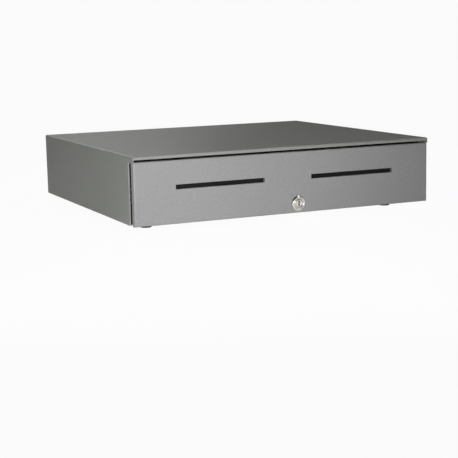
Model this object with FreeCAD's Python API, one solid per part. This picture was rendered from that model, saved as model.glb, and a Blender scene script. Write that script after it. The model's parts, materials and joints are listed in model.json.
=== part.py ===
"""Point-of-sale cash drawer in folded steel, with a lock, a latch and a money till.

Frame: millimetres, +Z up. X runs across the front, from left to right as the cashier sees it, and
-Y is the front. The origin is the centre of the whole footprint, on the surface the feet stand on.

A folded cover wraps a folded base pan. The drawer tray hangs between them on two three-part ball
slides. Its front covers the full width of the case, under the lip of the cover. Behind the tray a
bay holds the solenoid latch, the kick-out spring, the drawer switch and the interface board.
"""
import FreeCAD, Part
import math
import os

V = FreeCAD.Vector

# ---------------------------------------------------------------- driving dimensions
case_width = 478.0          # over the cover's sides
case_depth = 430.0          # face of the drawer front to the cover's rear flange
case_height = 98.0          # cover alone, without the feet
foot_height = 11.0          # clear height under the cover

sheet = 1.2                 # cover and base pan
fold = 1.2                  # inside radius of the cover's folds
front_sheet = 1.5           # drawer front
tray_sheet = 1.0            # tray, strike, rails for the till
running_gap = 0.3           # between parts that pass each other
seat_gap = 0.2              # between the base pan and the cover around it

lip_height = 4.8            # face of the cover's lip over the drawer front
lip_return = 10.0
front_gap = 3.2             # shadow gap between the lip and the drawer front
cheek_gap = 0.8             # between the drawer front and the cover's sides over it
front_return = 9.5          # depth of the drawer front's folded sides
side_gap = 9.5              # between those sides and the cover's side walls
hem_depth = 8.0             # closed hem on the front edge of the cover's sides
flange = 14.0               # cover's flanges under the base pan and behind it

cam_flange = 7.5            # upstand along the front edge of the base pan
slide_flange = 68.0         # upstands that carry the slides
rear_bay = 55.0             # between the tray and the cover's rear flange

screw_d = 4.0
cover_screw_pitch = 150.0
head_d = 7.0
head_h = 2.0
screw_slack = 0.1           # over the shank, on the width of a hole

foot_d = 20.0
foot_inset_x = 39.0
foot_inset_front = 62.0
foot_inset_rear = 90.0

counter_hole_d = 5.5        # holes for an under-counter bracket
counter_pitch_x = 300.0
counter_pitch_y = 220.0

slide_length = 350.0
slide_centre = 58.0         # above the surface
slide_depth = 12.7
rail_sheet = 1.2
rail_screw_d = 3.0
ball_d = 3.6
ball_count = 3              # in each of a cage's two rows
cage_length = 150.0
travel = 340.0

tray_floor = 21.5           # underside of the tray, above the surface
tray_top = 100.0
tray_rim = 8.0
fixing_inset = 18.7         # screws of the drawer front, from the tray's sides
fixing_rise = 10.5
fixing_drop = 12.0

slot_length = 138.0
slot_height = 6.5
slot_centre_x = 107.0
slot_rise = 52.0            # above the cover's lower edge
slot_lip = 3.5              # depth of the slot's drawn lip behind the sheet
chute_wall = 1.2
chute_bend = 8.0

lock_x = 15.0
lock_rise = 14.5
lock_proud = 4.0
lock_cap_d = 22.0
lock_barrel_d = 18.6
plug_d = 12.5
plug_clearance = 0.05
cam_sheet = 2.0
cam_reach = 11.0
cam_play = 2.0              # between the cam and the upstand that it locks behind
cam_screw_h = 3.0           # washer and head
guard_depth = 20.0          # of the cover over the lock's tail
cam_width = 10.0

till_wall = 2.5
till_height = 54.0
till_rim = 1.2              # overhang of the till's rim
till_floor_rise = 20.5      # tray floor to the underside of the till
till_front_space = 28.5     # tray front wall to the till, for chutes and lock
coin_bay = 130.0
coin_slots = 5
bill_slots = 5
cup_wall = 2.0
cup_gap = 0.6
cup_height = 44.0
cup_scoop = 34.0

shaft_d = 4.0
shaft_drop = 8.0            # shaft below the till's rim
shaft_inset = 12.0          # shaft ahead of the till's rear wall
hub_d = 10.0
hub_length = 30.0
hub_clearance = 0.06
arm_sheet = 3.0
arm_width = 16.0
pad_width = 38.0
arm_reach = 98.0

latch_angle = 11.0          # between latched and released
latch_x = -6.0
latch_arm = 32.0
plunger_arm = 24.0
latch_plate = 3.0
bracket_plate = 2.0
bracket_above = 10.0        # bracket's top over the pivot
bracket_foot = 22.0

rear_proud = head_h

# ---------------------------------------------------------------- levels and planes worked out
half_w = case_width / 2
y_front = -(lock_proud + case_depth + rear_proud) / 2 + lock_proud
y_rear = y_front + case_depth
z_low = foot_height
z_high = foot_height + case_height
y_side = y_front + front_return + side_gap      # front edge of the cover's sides

z_base = z_low + sheet                          # underside of the base pan
z_bay = z_base + sheet                          # floor inside the case
base_half = half_w - sheet - seat_gap
y_base_front = y_side + 1.0
y_base_rear = y_rear - sheet - seat_gap
rail_x = base_half - sheet                      # face that carries the fixed rail
y_rail = y_side + hem_depth + 2.0

tray_half = rail_x - slide_depth
y_tray = y_front + front_return
y_tray_rear = y_rear - rear_bay
tray_inner = tray_half - tray_sheet
tray_deck = tray_floor + tray_sheet

front_top = z_high - lip_height - front_gap
slot_z = z_low + slot_rise
lock_z = z_low + lock_rise

till_half = tray_inner - 2.0
z_till = tray_deck + till_floor_rise
till_top = z_till + till_height
y_till = y_tray + till_front_space
y_till_rear = y_tray_rear - 5.0
till_in = till_half - till_wall
z_till_in = z_till + till_wall
y_cross = y_till + till_wall + coin_bay         # front face of the wall between coins and bills
y_bills = y_cross + till_wall
y_bills_rear = y_till_rear - till_wall
divider = 2.4
bill_pitch = (2 * till_in + divider) / bill_slots

shaft_y = y_bills_rear - shaft_inset
shaft_z = till_top - shaft_drop


# ---------------------------------------------------------------- small tools
def box(x0, x1, y0, y1, z0, z1):
    """A block between two corners."""
    return Part.makeBox(x1 - x0, y1 - y0, z1 - z0, V(x0, y0, z0))


def rod(start, end, diameter):
    """A round bar from one point to another."""
    a, b = V(*start), V(*end)
    return Part.makeCylinder(diameter / 2, (b - a).Length, a, b - a)


def cone(start, end, d0, d1):
    """A tapered round bar."""
    a, b = V(*start), V(*end)
    return Part.makeCone(d0 / 2, d1 / 2, (b - a).Length, a, b - a)


def join(shapes):
    """One solid made of touching or overlapping ones."""
    first, rest = shapes[0], shapes[1:]
    return first.fuse(rest).removeSplitter() if rest else first


def mirror_x(shape):
    return shape.mirror(V(0, 0, 0), V(1, 0, 0))


def round_edges(shape, radius, wanted):
    """Fillets the edges whose middle passes the test `wanted`."""
    edges = [e for e in shape.Edges if wanted(e.CenterOfMass, e)]
    return shape.makeFillet(radius, edges)


def offset_points(points, distance):
    """A polyline moved sideways, to its left, by a distance."""
    lines = []
    for (ax, ay), (bx, by) in zip(points, points[1:]):
        length = math.hypot(bx - ax, by - ay)
        nx, ny = -(by - ay) / length * distance, (bx - ax) / length * distance
        lines.append(((ax + nx, ay + ny), (bx + nx, by + ny)))
    moved = [lines[0][0]]
    for (a, b), (c, d) in zip(lines, lines[1:]):
        rx, ry, sx, sy = b[0] - a[0], b[1] - a[1], d[0] - c[0], d[1] - c[1]
        share = ((c[0] - a[0]) * sy - (c[1] - a[1]) * sx) / (rx * sy - ry * sx)
        moved.append((a[0] + share * rx, a[1] + share * ry))
    return moved + [lines[-1][1]]


def turns_left(a, b, c):
    return (b[0] - a[0]) * (c[1] - b[1]) - (b[1] - a[1]) * (c[0] - b[0]) > 0


def rounded(points, radii, place):
    """Edges along a polyline whose corners are arcs. `place` turns (a, b) into a point in space."""
    edges, at = [], points[0]
    for before, corner, after, radius in zip(points, points[1:], points[2:], radii):
        u = (before[0] - corner[0], before[1] - corner[1])
        w = (after[0] - corner[0], after[1] - corner[1])
        lu, lw = math.hypot(*u), math.hypot(*w)
        u, w = (u[0] / lu, u[1] / lu), (w[0] / lw, w[1] / lw)
        half = math.acos(max(-1.0, min(1.0, u[0] * w[0] + u[1] * w[1]))) / 2
        back, reach = radius / math.tan(half), radius / math.sin(half)
        m = (u[0] + w[0], u[1] + w[1])
        lm = math.hypot(*m)
        m = (m[0] / lm, m[1] / lm)
        start = (corner[0] + u[0] * back, corner[1] + u[1] * back)
        middle = (corner[0] + m[0] * (reach - radius), corner[1] + m[1] * (reach - radius))
        end = (corner[0] + w[0] * back, corner[1] + w[1] * back)
        if math.dist(at, start) > 1e-6:
            edges.append(Part.makeLine(place(*at), place(*start)))
        edges.append(Part.Arc(place(*start), place(*middle), place(*end)).toShape())
        at = end
    if math.dist(at, points[-1]) > 1e-6:
        edges.append(Part.makeLine(place(*at), place(*points[-1])))
    return edges


def folded(points, thickness, inside, place, along):
    """Folded sheet: a polyline is one face, the other lies `thickness` to its left (or right, if < 0)."""
    other = offset_points(points, thickness)
    outside = inside + abs(thickness)
    turns = [turns_left(*three) == (thickness > 0) for three in zip(points, points[1:], points[2:])]
    near = rounded(points, [outside if towards else inside for towards in turns], place)
    far = rounded(other, [inside if towards else outside for towards in turns], place)
    caps = [
        Part.makeLine(place(*points[0]), place(*other[0])),
        Part.makeLine(place(*points[-1]), place(*other[-1])),
    ]
    wire = Part.Wire(Part.__sortEdges__(near + far + caps))
    return Part.Face(wire).extrude(along)


def across(points, thickness, inside, x0, x1):
    """Folded sheet with its section in the side view, running across the case."""
    return folded(points, thickness, inside, lambda y, z: V(x0, y, z), V(x1 - x0, 0, 0))


def lengthwise(points, thickness, inside, y0, y1):
    """Folded sheet with its section in the front view, running front to back."""
    return folded(points, thickness, inside, lambda x, z: V(x, y0, z), V(0, y1 - y0, 0))


def outline_across(points, x0, x1):
    """A flat outline in the side view, as thick as x0 to x1."""
    corners = [V(x0, y, z) for y, z in points]
    return Part.Face(Part.makePolygon(corners + corners[:1])).extrude(V(x1 - x0, 0, 0))


def outline_facing(points, y0, y1):
    """A flat outline in the front view, as thick as y0 to y1."""
    corners = [V(x, y0, z) for x, z in points]
    return Part.Face(Part.makePolygon(corners + corners[:1])).extrude(V(0, y1 - y0, 0))


def pan_screw(seat, axis, length, diameter=screw_d):
    """A pan-head screw whose head sits on `seat`, shank along `axis`."""
    s, n = V(*seat), V(*axis)
    top = s - n * head_h
    head = Part.makeCylinder(head_d / 2 * diameter / screw_d, head_h, top, n)
    head = round_edges(head, 0.8, lambda c, e: (c - top).Length < 0.1)
    return join([head, Part.makeCylinder(diameter / 2, length, s, n)])


def coil(centre, axis, mean_d, wire_d, length, turns):
    """A coil spring as a swept round wire, its axis along `axis`."""
    helix = Part.makeHelix(length / turns, length, mean_d / 2)
    start = V(mean_d / 2, 0, 0)
    section = Part.Wire(Part.makeCircle(wire_d / 2, start, V(0, 1, 0)))
    spring = Part.Wire(helix.Edges).makePipeShell([section], True, True)
    turn = FreeCAD.Rotation(V(0, 0, 1), V(*axis))
    spring.Placement = FreeCAD.Placement(V(*centre), turn)
    return spring


# ---------------------------------------------------------------- case
def cover_screw_places():
    """Where screws come up through the cover's lower flanges, and in through its rear one."""
    x = half_w - flange / 2
    below = [(s * x, n * cover_screw_pitch, z_low) for s in (-1, 1) for n in (-1, 0, 1)]
    behind = [(s * case_width / 3, y_rear, z_high - flange + head_d / 2) for s in (-1, 1)]
    return below, behind


def case_cover():
    """Folded wrap: top, sides, lip over the drawer front, and flanges under and behind."""
    corner = fold + sheet
    outer = box(-half_w, half_w, y_front, y_rear, z_low, z_high)
    inner = box(-half_w + sheet, half_w - sheet, y_front + sheet, y_rear - sheet, z_low + sheet,
                z_high - sheet)
    outer = round_edges(outer, corner, lambda c, e: c.z > z_high - 1 or c.y > y_rear - 1 and c.z > z_low + 1)
    inner = round_edges(inner, fold, lambda c, e: c.z > z_high - sheet - 1
                        or c.y > y_rear - sheet - 1 and c.z > z_low + sheet + 1)
    lip_z = z_high - lip_height
    cheek_z = front_top + cheek_gap   # the sides close the ends of the gap under the lip
    shell = outer.cut([
        inner,
        box(-half_w - 1, half_w + 1, y_front - 1, y_side, z_low - 1, cheek_z),
        box(-half_w + sheet, half_w - sheet, y_front - 1, y_side, z_low - 1, lip_z),
        box(-half_w + flange, half_w - flange, y_side - 1, y_rear - flange, z_low - 1, z_low + sheet + 1),
        box(-half_w + flange, half_w - flange, y_rear - flange, y_rear + 1, z_low + flange, z_high - flange),
    ])
    lip = box(-half_w + sheet, half_w - sheet, y_front, y_front + lip_return, lip_z, lip_z + sheet)
    hem_top = z_high - sheet
    hem = box(half_w - 2 * sheet, half_w, y_side, y_side + hem_depth, z_low, hem_top)
    hem = round_edges(hem, sheet - 0.05, lambda c, e: abs(c.y - y_side) < 0.01 and e.Length > 50)
    hem = hem.common(outer)
    shell = join([shell.cut(box(-half_w - 1, half_w + 1, y_side - 0.01, y_side + hem_depth / 2,
                                z_low - 1, cheek_z)), lip, hem, mirror_x(hem)])
    below, behind = cover_screw_places()
    hole = screw_d + 0.5
    holes = [rod((x, y, z - 1), (x, y, z + 2 * sheet), hole) for x, y, z in below]
    holes += [rod((x, y + 1, z), (x, y - 2 * sheet, z), hole) for x, y, z in behind]
    return shell.cut(holes)


def base_bead(x):
    """A stiffening bead pressed up into the floor: its raised skin, and the hollow under it."""
    radius, y0, y1 = 4.0, -120.0, 130.0
    made = []
    for r in (radius, radius - sheet):
        made.append(join([
            rod((x, y0, z_base), (x, y1, z_base), 2 * r),
            Part.makeSphere(r, V(x, y0, z_base)),
            Part.makeSphere(r, V(x, y1, z_base)),
        ]))
    above = box(x - 10, x + 10, y0 - 10, y1 + 10, z_base, z_base + 10)
    return made[0].common(above), made[1]


def foot_places():
    """The four feet, under the base pan."""
    x = half_w - foot_inset_x
    return [(s * x, y) for s in (-1, 1) for y in (y_front + foot_inset_front, y_rear - foot_inset_rear)]


def counter_holes():
    """The four holes for an under-counter bracket."""
    return [(sx * counter_pitch_x / 2, sy * counter_pitch_y / 2) for sx in (-1, 1) for sy in (-1, 1)]


def base_pan():
    """Floor and rear wall in one sheet, with upstands for the slides and for the lock's cam."""
    z_top = z_high - lip_height - sheet - 0.6   # low enough to slide in under the lip
    rise = z_base + slide_flange
    sides = lengthwise([(-base_half, rise), (-base_half, z_base), (base_half, z_base), (base_half, rise)],
                       sheet, fold, y_rail - 1, y_base_rear - fold - sheet - 1)
    floor = across([(y_base_front, z_base + cam_flange), (y_base_front, z_base), (y_base_rear, z_base),
                    (y_base_rear, z_top), (y_base_rear - flange, z_top)], sheet, fold,
                   -base_half + fold + sheet + 1, base_half - fold - sheet - 1)
    pan = join([sides, floor])
    beads = [base_bead(x) for x in (-120.0, 0.0, 120.0)]
    pan = pan.cut([hollow for _, hollow in beads])
    pan = join([pan] + [skin.cut(hollow) for skin, hollow in beads])
    below, behind = cover_screw_places()
    pilot = screw_d + screw_slack
    for side in (-1, 1):
        pan = pan.cut([rod((side * (rail_x - 1), y, slide_centre), (side * (rail_x + 2), y, slide_centre),
                            rail_screw_d + screw_slack)
                       for y in rail_screw_rows()])
    cuts = [rod((x, y, z_base - 1), (x, y, z_bay + 1), pilot) for x, y, _ in below]
    cuts += [rod((x, y_base_rear + 1, z), (x, y_base_rear - 3, z), pilot) for x, _, z in behind]
    cuts += [rod((x, y, z_base - 1), (x, y, z_bay + 1), screw_d + 0.3) for x, y in foot_places()]
    cuts += [rod((x, y, z_base - 1), (x, y, z_bay + 1), counter_hole_d) for x, y in counter_holes()]
    # slot under the latch for opening the drawer by hand when the power is off
    cuts.append(box(latch_x - latch_arm - 12, latch_x - latch_arm + 8, y_latch - 5, y_latch + 5,
                    z_base - 1, z_bay + 1))
    cuts.append(box(jack_x - jack_w / 2 - running_gap, jack_x + jack_w / 2 + running_gap, y_base_rear - 3,
                    y_base_rear + 1, jack_z - jack_h / 2 - running_gap, jack_z + jack_h / 2 + running_gap))
    return pan.cut(cuts)


def rubber_feet():
    """Four moulded feet, each tapered and counterbored for its screw."""
    feet = []
    for x, y in foot_places():
        foot = cone((x, y, 0), (x, y, z_base), foot_d - 3, foot_d)
        foot = round_edges(foot, 1.0, lambda c, e: c.z < 0.1 and e.Length > 10)
        foot = foot.cut(rod((x, y, -1), (x, y, 5.0), head_d + 2))
        foot = foot.cut(rod((x, y, 4), (x, y, z_base + 1), screw_d))
        feet.append(foot)
    return Part.makeCompound(feet)


def case_screws():
    """Screws that hold the cover to the base pan, and the feet to it."""
    below, behind = cover_screw_places()
    screws = [pan_screw((x, y, z), (0, 0, 1), 2 * sheet + 3) for x, y, z in below]
    screws += [pan_screw((x, y, z), (0, -1, 0), 2 * sheet + 3) for x, y, z in behind]
    return Part.makeCompound(screws)


def foot_screws():
    return Part.makeCompound([pan_screw((x, y, 5.0), (0, 0, 1), z_bay - 5.0 + 2) for x, y in foot_places()])


# ---------------------------------------------------------------- ball slides
def rail(points, inside, y0, y1):
    """One member of the right-hand slide; points are (depth from the fixed face, height from centre)."""
    placed = [(rail_x - u, slide_centre + v) for u, v in points]
    return lengthwise(placed, -rail_sheet, inside, y0, y1)


fixed_half = 17.5           # half height of the fixed rail
middle_half = fixed_half - rail_sheet - ball_d - 0.2
inner_half = middle_half - rail_sheet - ball_d - 0.2
middle_web = rail_sheet + 0.8
cage_sheet = 0.5


def fixed_rail():
    """Outer member, screwed to the base pan's upstand. Its curled edges hold the outer balls."""
    depth, curl = 7.6, 3.6
    web = rail([(depth, fixed_half - curl), (depth, fixed_half), (0, fixed_half), (0, -fixed_half),
                (depth, -fixed_half), (depth, -fixed_half + curl)], 1.4, y_rail, y_rail + slide_length)
    stop = box(rail_x - 3.5, rail_x - rail_sheet, y_rail + slide_length - 4, y_rail + slide_length - 1,
               slide_centre - 5, slide_centre + 5)
    return join([web.cut(countersinks()), stop])


def middle_rail():
    """Middle member, which carries the outer balls on its back and the inner balls inside."""
    depth, curl = 10.6, 3.6
    return rail([(depth, middle_half - curl), (depth, middle_half), (middle_web, middle_half),
                 (middle_web, -middle_half), (depth, -middle_half), (depth, -middle_half + curl)],
                0.3, y_rail + 1, y_rail + slide_length - 5)


def moving_rail():
    """Inner member, screwed to the tray, open towards the case."""
    tip = 4.4
    holes = [rod((rail_x - slide_depth - 1, y, slide_centre), (rail_x - slide_depth + 3, y, slide_centre),
                 rail_screw_d + screw_slack) for y in rail_screw_rows()]
    channel = rail([(tip, -inner_half), (slide_depth, -inner_half), (slide_depth, inner_half),
                    (tip, inner_half)], 0.6, y_rail - 2, y_rail + slide_length - 8)
    return channel.cut(holes)


def rail_screw_rows():
    """Where the rails are screwed on, from front to back."""
    first, last = y_rail + 25, min(y_rail + slide_length, y_tray_rear) - 25
    return [first, (first + last) / 2, last]


def ball_cage(web_u, tip_u, ball_u, ball_v, y0):
    """Ball retainer: a thin channel with a row of balls along each edge."""
    placed = [(rail_x - u, slide_centre + v) for u, v in
              [(tip_u, -ball_v - cage_sheet / 2), (web_u, -ball_v - cage_sheet / 2),
               (web_u, ball_v + cage_sheet / 2), (tip_u, ball_v + cage_sheet / 2)]]
    strip = lengthwise(placed, cage_sheet, 0.3, y0, y0 + cage_length)
    pockets, balls = [], []
    for side in (-1, 1):
        for n in range(ball_count):
            y = y0 + cage_length * (n + 0.5) / ball_count
            at = V(rail_x - ball_u, y, slide_centre + side * ball_v)
            pockets.append(Part.makeCylinder(ball_d / 2 + 0.1, 4, at - V(0, 0, 2), V(0, 0, 1)))
            balls.append(Part.makeSphere(ball_d / 2, at))
    return [strip.cut(pockets)] + balls


def outer_cages():
    v = fixed_half - rail_sheet - 0.1 - ball_d / 2
    right = ball_cage(rail_sheet + 0.15, 6.1, 3.9, v, y_rail + slide_length - cage_length - 12)
    return Part.makeCompound(right + [mirror_x(s) for s in right])


def inner_cages():
    v = middle_half - rail_sheet - 0.1 - ball_d / 2
    right = ball_cage(middle_web + rail_sheet + 0.15, 9.1, 6.9, v, y_rail + 8)
    return Part.makeCompound(right + [mirror_x(s) for s in right])


def countersinks():
    """Countersunk screws of one fixed rail, flush with its web so that the cage can pass over them."""
    made = []
    for y in rail_screw_rows():
        face = rail_x - rail_sheet
        head = cone((face, y, slide_centre), (rail_x, y, slide_centre), 2 * rail_screw_d, rail_screw_d)
        shank = rod((rail_x, y, slide_centre), (rail_x + sheet, y, slide_centre), rail_screw_d)
        made.append(join([head, shank]))
    return made


def rail_screws():
    """Screws of the fixed rails into the base pan's upstands."""
    return Part.makeCompound(countersinks() + [mirror_x(s) for s in countersinks()])


def tray_screws():
    """Screws of the moving rails into the tray's sides."""
    face = rail_x - slide_depth + rail_sheet
    right = [pan_screw((face, y, slide_centre), (-1, 0, 0), rail_sheet + tray_sheet + 1, rail_screw_d)
             for y in rail_screw_rows()]
    return Part.makeCompound(right + [mirror_x(s) for s in right])


# ---------------------------------------------------------------- drawer tray and front
def drawer_tray():
    """Folded inner tray, open at the top, with windows for the chutes and the lock."""
    wall_top = tray_top - 2
    sides = lengthwise([(-tray_half - tray_rim, tray_top), (-tray_half, tray_top), (-tray_half, tray_floor),
                        (tray_half, tray_floor), (tray_half, tray_top), (tray_half + tray_rim, tray_top)],
                       tray_sheet, 0.8, y_tray + 2, y_tray_rear - 2)
    ends = across([(y_tray + 8, wall_top), (y_tray, wall_top), (y_tray, tray_floor),
                   (y_tray_rear, tray_floor), (y_tray_rear, wall_top), (y_tray_rear - 8, wall_top)],
                  tray_sheet, 0.8, -tray_half + 2, tray_half - 2)
    tray = join([sides, ends])
    cuts = [rod((lock_x, y_tray - 1, lock_z), (lock_x, y_tray + 2, lock_z), lock_barrel_d + 1)]
    for side in (-1, 1):
        x = side * slot_centre_x
        half = slot_length / 2 + 2.5
        low, high = chute_band(chute_wall + 0.4)
        cuts.append(box(x - half, x + half, y_tray - 1, y_tray + 2, low, high))
    cuts.append(box(lock_x - 19, lock_x + 19, y_tray + tray_sheet, cam_y + cam_sheet + cam_screw_h + 1.4,
                    tray_floor - 1, tray_deck + 1))
    cuts += [rod((x, y_tray - 1, z), (x, y_tray + 2, z), screw_d + 0.3) for x, z in front_fixings()]
    for side in (-1, 1):
        cuts += [rod((side * (tray_half + 1), y, slide_centre), (side * (tray_half - 2), y, slide_centre),
                     rail_screw_d + screw_slack) for y in rail_screw_rows()]
    return tray.cut(cuts)


def front_fixings():
    """Where the drawer front is screwed to the tray."""
    return [(s * (tray_half - fixing_inset), z) for s in (-1, 1)
            for z in (tray_floor + fixing_rise, tray_top - fixing_drop)]


def drawer_front():
    """Pressed front: returned edges all round, two media slots with drawn lips, and the lock's hole."""
    half = half_w - 0.5
    corner = 2.2
    skin = box(-half, half, y_front, y_tray, z_low, front_top)
    skin = round_edges(skin, corner, lambda c, e: c.y < y_front + 0.1)
    hollow = box(-half + front_sheet, half - front_sheet, y_front + front_sheet, y_tray + 1,
                 z_low + front_sheet, front_top - front_sheet)
    front = skin.cut(hollow)
    for side in (-1, 1):
        x = side * slot_centre_x
        lx, lz = slot_length / 2, slot_height / 2
        lip = box(x - lx - front_sheet, x + lx + front_sheet, y_front + front_sheet - 0.1,
                  y_front + front_sheet + slot_lip, slot_z - lz - front_sheet, slot_z + lz + front_sheet)
        front = join([front, lip])
        front = front.cut(box(x - lx, x + lx, y_front - 1, y_front + 10, slot_z - lz, slot_z + lz))
    front = round_edges(front, 0.9,
                        lambda c, e: abs(c.y - y_front) < 0.01 and abs(c.z - slot_z) < slot_height)
    bore = rod((lock_x, y_front - 1, lock_z), (lock_x, y_front + 3, lock_z), lock_barrel_d + 0.2)
    return front.cut(bore)


stud_bore_end = y_front + front_sheet + 3.0     # threaded from the tray's side, not right through


def front_standoffs():
    """Pressed-in threaded studs on the back of the front, which the tray's screws go into."""
    studs = []
    for x, z in front_fixings():
        stud = rod((x, y_front + front_sheet, z), (x, y_tray, z), 8.0)
        studs.append(stud.cut(rod((x, stud_bore_end, z), (x, y_tray + 1, z), screw_d)))
    return Part.makeCompound(studs)


def front_screws():
    seat = y_tray + tray_sheet
    reach = seat - stud_bore_end - 1.0
    return Part.makeCompound([pan_screw((x, seat, z), (0, -1, 0), reach) for x, z in front_fixings()])


def chute_band(extra):
    """Lowest and highest level that a chute needs through the tray's front wall."""
    return slot_z - slot_height / 2 - extra - chute_bend, slot_z + slot_height / 2 + extra + 1.0


def media_chute(side):
    """Moulded chute that leads cheques from a slot to the space under the till."""
    x = side * slot_centre_x
    lx = slot_length / 2
    gap = slot_height + 0.6
    y0, y1 = y_front + front_sheet + slot_lip + 0.3, y_tray + 9.0
    z0, z1 = slot_z - gap / 2, tray_deck + 15.0
    inside = [(y0, z0), (y1, z0), (y1, z1)]
    outside = offset_points(inside, -chute_wall)
    outside[0], outside[-1] = (y0, outside[0][1]), (outside[-1][0], z1)
    shell = across(outside, gap + 2 * chute_wall, chute_bend, x - lx - chute_wall, x + lx + chute_wall)
    longer = [(y0 - 1, z0), (y1, z0), (y1, z1 - 1)]
    passage = across(longer, gap, chute_bend + chute_wall, x - lx, x + lx)
    ear = box(x - lx - 6, x + lx + 6, y_tray - 1.2, y_tray, slot_z + gap / 2 + chute_wall - 0.2,
              slot_z + gap / 2 + chute_wall + 6)
    return join([shell, ear]).cut(passage)


def till_rails():
    """Two folded ledges that carry the till above the cheque space."""
    rails = []
    for side in (-1, 1):
        wall = side * tray_inner
        path = [(wall - side * 16, z_till), (wall, z_till), (wall, tray_deck + 1)]
        rails.append(lengthwise(path, -side * tray_sheet, 0.8, y_till + 4, y_till_rear - 4))
    return Part.makeCompound(rails)


# ---------------------------------------------------------------- lock
cam_y = y_base_front + sheet + cam_play         # front face of the cam, behind the upstand
barrel_end = y_base_front - 0.5


def lock_body():
    """Lock housing: a bevelled cap over the front and a barrel with two flats."""
    cap_front = y_front - lock_proud
    cap = rod((lock_x, cap_front, lock_z), (lock_x, y_front, lock_z), lock_cap_d)
    cap = cap.makeChamfer(1.6, [e for e in cap.Edges if abs(e.CenterOfMass.y - cap_front) < 0.01])
    barrel = rod((lock_x, y_front, lock_z), (lock_x, barrel_end, lock_z), lock_barrel_d)
    flat = lock_barrel_d / 2 - 0.8
    for x0, x1 in ((lock_x - flat - 5, lock_x - flat), (lock_x + flat, lock_x + flat + 5)):
        barrel = barrel.cut(box(x0, x1, y_front + 3, barrel_end + 1, lock_z - 10, lock_z + 10))
    bore = rod((lock_x, cap_front - 1, lock_z), (lock_x, barrel_end + 1, lock_z), plug_d + 2 * plug_clearance)
    return join([cap, barrel]).cut(bore)


def lock_nut():
    """Thin hexagon nut behind the drawer front."""
    y0 = y_front + front_sheet
    radius = 14.5
    turns = [math.radians(60 * n) for n in range(6)]
    points = [(lock_x + radius * math.cos(a), lock_z + radius * math.sin(a)) for a in turns]
    nut = outline_facing(points, y0, y0 + 3.5).common(
        box(lock_x - 20, lock_x + 20, y0, y0 + 4, z_low + front_sheet + 0.2, lock_z + 20))
    return nut.cut(rod((lock_x, y0 - 1, lock_z), (lock_x, y0 + 5, lock_z), lock_barrel_d + 0.1))


def lock_plug():
    """Turning plug with the keyway, and the square tail that drives the cam."""
    face = y_front - lock_proud + 0.6
    plug = rod((lock_x, face, lock_z), (lock_x, barrel_end, lock_z), plug_d)
    plug = round_edges(plug, 0.8, lambda c, e: abs(c.y - face) < 0.01 and e.Length > 20)
    tail = box(lock_x - 2.5, lock_x + 2.5, barrel_end, cam_y + cam_sheet, lock_z - 2.5, lock_z + 2.5)
    keyway = box(lock_x - 1.1, lock_x + 1.1, face - 1, face + 7, lock_z - 4.2, lock_z + 4.2)
    return join([plug, tail]).cut(keyway)


def lock_cam():
    """Cam on the plug's tail. It points to the right, and turns down behind the upstand to lock."""
    half = cam_width / 2
    plate = join([
        rod((lock_x, cam_y, lock_z), (lock_x, cam_y + cam_sheet, lock_z), cam_width),
        box(lock_x, lock_x + cam_reach, cam_y, cam_y + cam_sheet, lock_z - half + 1, lock_z + half - 1),
    ])
    tip = lock_x + cam_reach
    plate = round_edges(plate, 2.0, lambda c, e: abs(c.x - tip) < 0.01 and e.Length < cam_sheet + 0.01)
    hole = box(lock_x - 2.55, lock_x + 2.55, cam_y - 1, cam_y + 4, lock_z - 2.55, lock_z + 2.55)
    return plate.cut(hole)


def cam_screw():
    """Screw and washer that keep the cam on the tail."""
    y = cam_y + cam_sheet
    washer = rod((lock_x, y, lock_z), (lock_x, y + 1, lock_z), 9.0)
    head = rod((lock_x, y + 1, lock_z), (lock_x, y + cam_screw_h, lock_z), 6.0)
    return join([washer, head])


def lock_guard():
    """Folded box in the tray over the lock's tail, so that paper can't foul the cam."""
    y1 = y_tray + tray_sheet + 0.9
    x0, x1 = lock_x - 20.5, lock_x + 20.5
    top = z_till - 1.0
    y2 = y1 + guard_depth
    outer = box(x0, x1, y1, y2, tray_deck, top)
    outer = round_edges(outer, 1.5, lambda c, e: c.z > top - 0.1 and abs(c.y - y1) > 0.1)
    inner = box(x0 + tray_sheet, x1 - tray_sheet, y1 - 1, y2 - tray_sheet,
                tray_deck - 1, top - tray_sheet)
    return outer.cut(inner)


# ---------------------------------------------------------------- till
def till_body():
    """Moulded till: coin bay in front, bill bay behind, and a rolled rim."""
    body = box(-till_half, till_half, y_till, y_till_rear, z_till, till_top)
    body = round_edges(body, 4.0, lambda c, e: e.Length > till_height - 1 and e.Length < till_height + 1)
    body = round_edges(body, 1.5, lambda c, e: c.z < z_till + 0.1)
    pockets = []
    for y0, y1 in ((y_till + till_wall, y_cross), (y_bills, y_bills_rear)):
        pocket = box(-till_in, till_in, y0, y1, z_till_in, till_top + 1)
        pockets.append(round_edges(pocket, 1.0,
                                   lambda c, e: abs(abs(c.x) - till_in) < 0.1 and e.Length < 100))
    rim = box(-till_half - till_rim, till_half + till_rim, y_till - till_rim, y_till_rear + till_rim,
              till_top - 3.0, till_top)
    rim = round_edges(rim, 4.0 + till_rim, lambda c, e: abs(e.Length - 3.0) < 0.01)
    rim = round_edges(rim, 0.8, lambda c, e: c.z > till_top - 0.1)
    grips = []
    for side in (-1, 1):
        run = [(y_bills + 45.0, till_top - 15), (y_bills + 115.0, till_top - 15)]
        ends = [rod((side * (till_half + 1), y, z), (side * (till_in - 1), y, z), 14.0) for y, z in run]
        x0, x1 = sorted((side * (till_half + 1), side * (till_in - 1)))
        grips += ends + [box(x0, x1, run[0][0], run[1][0], till_top - 22, till_top - 8)]
    return join([body, rim]).cut(pockets + grips)


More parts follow.
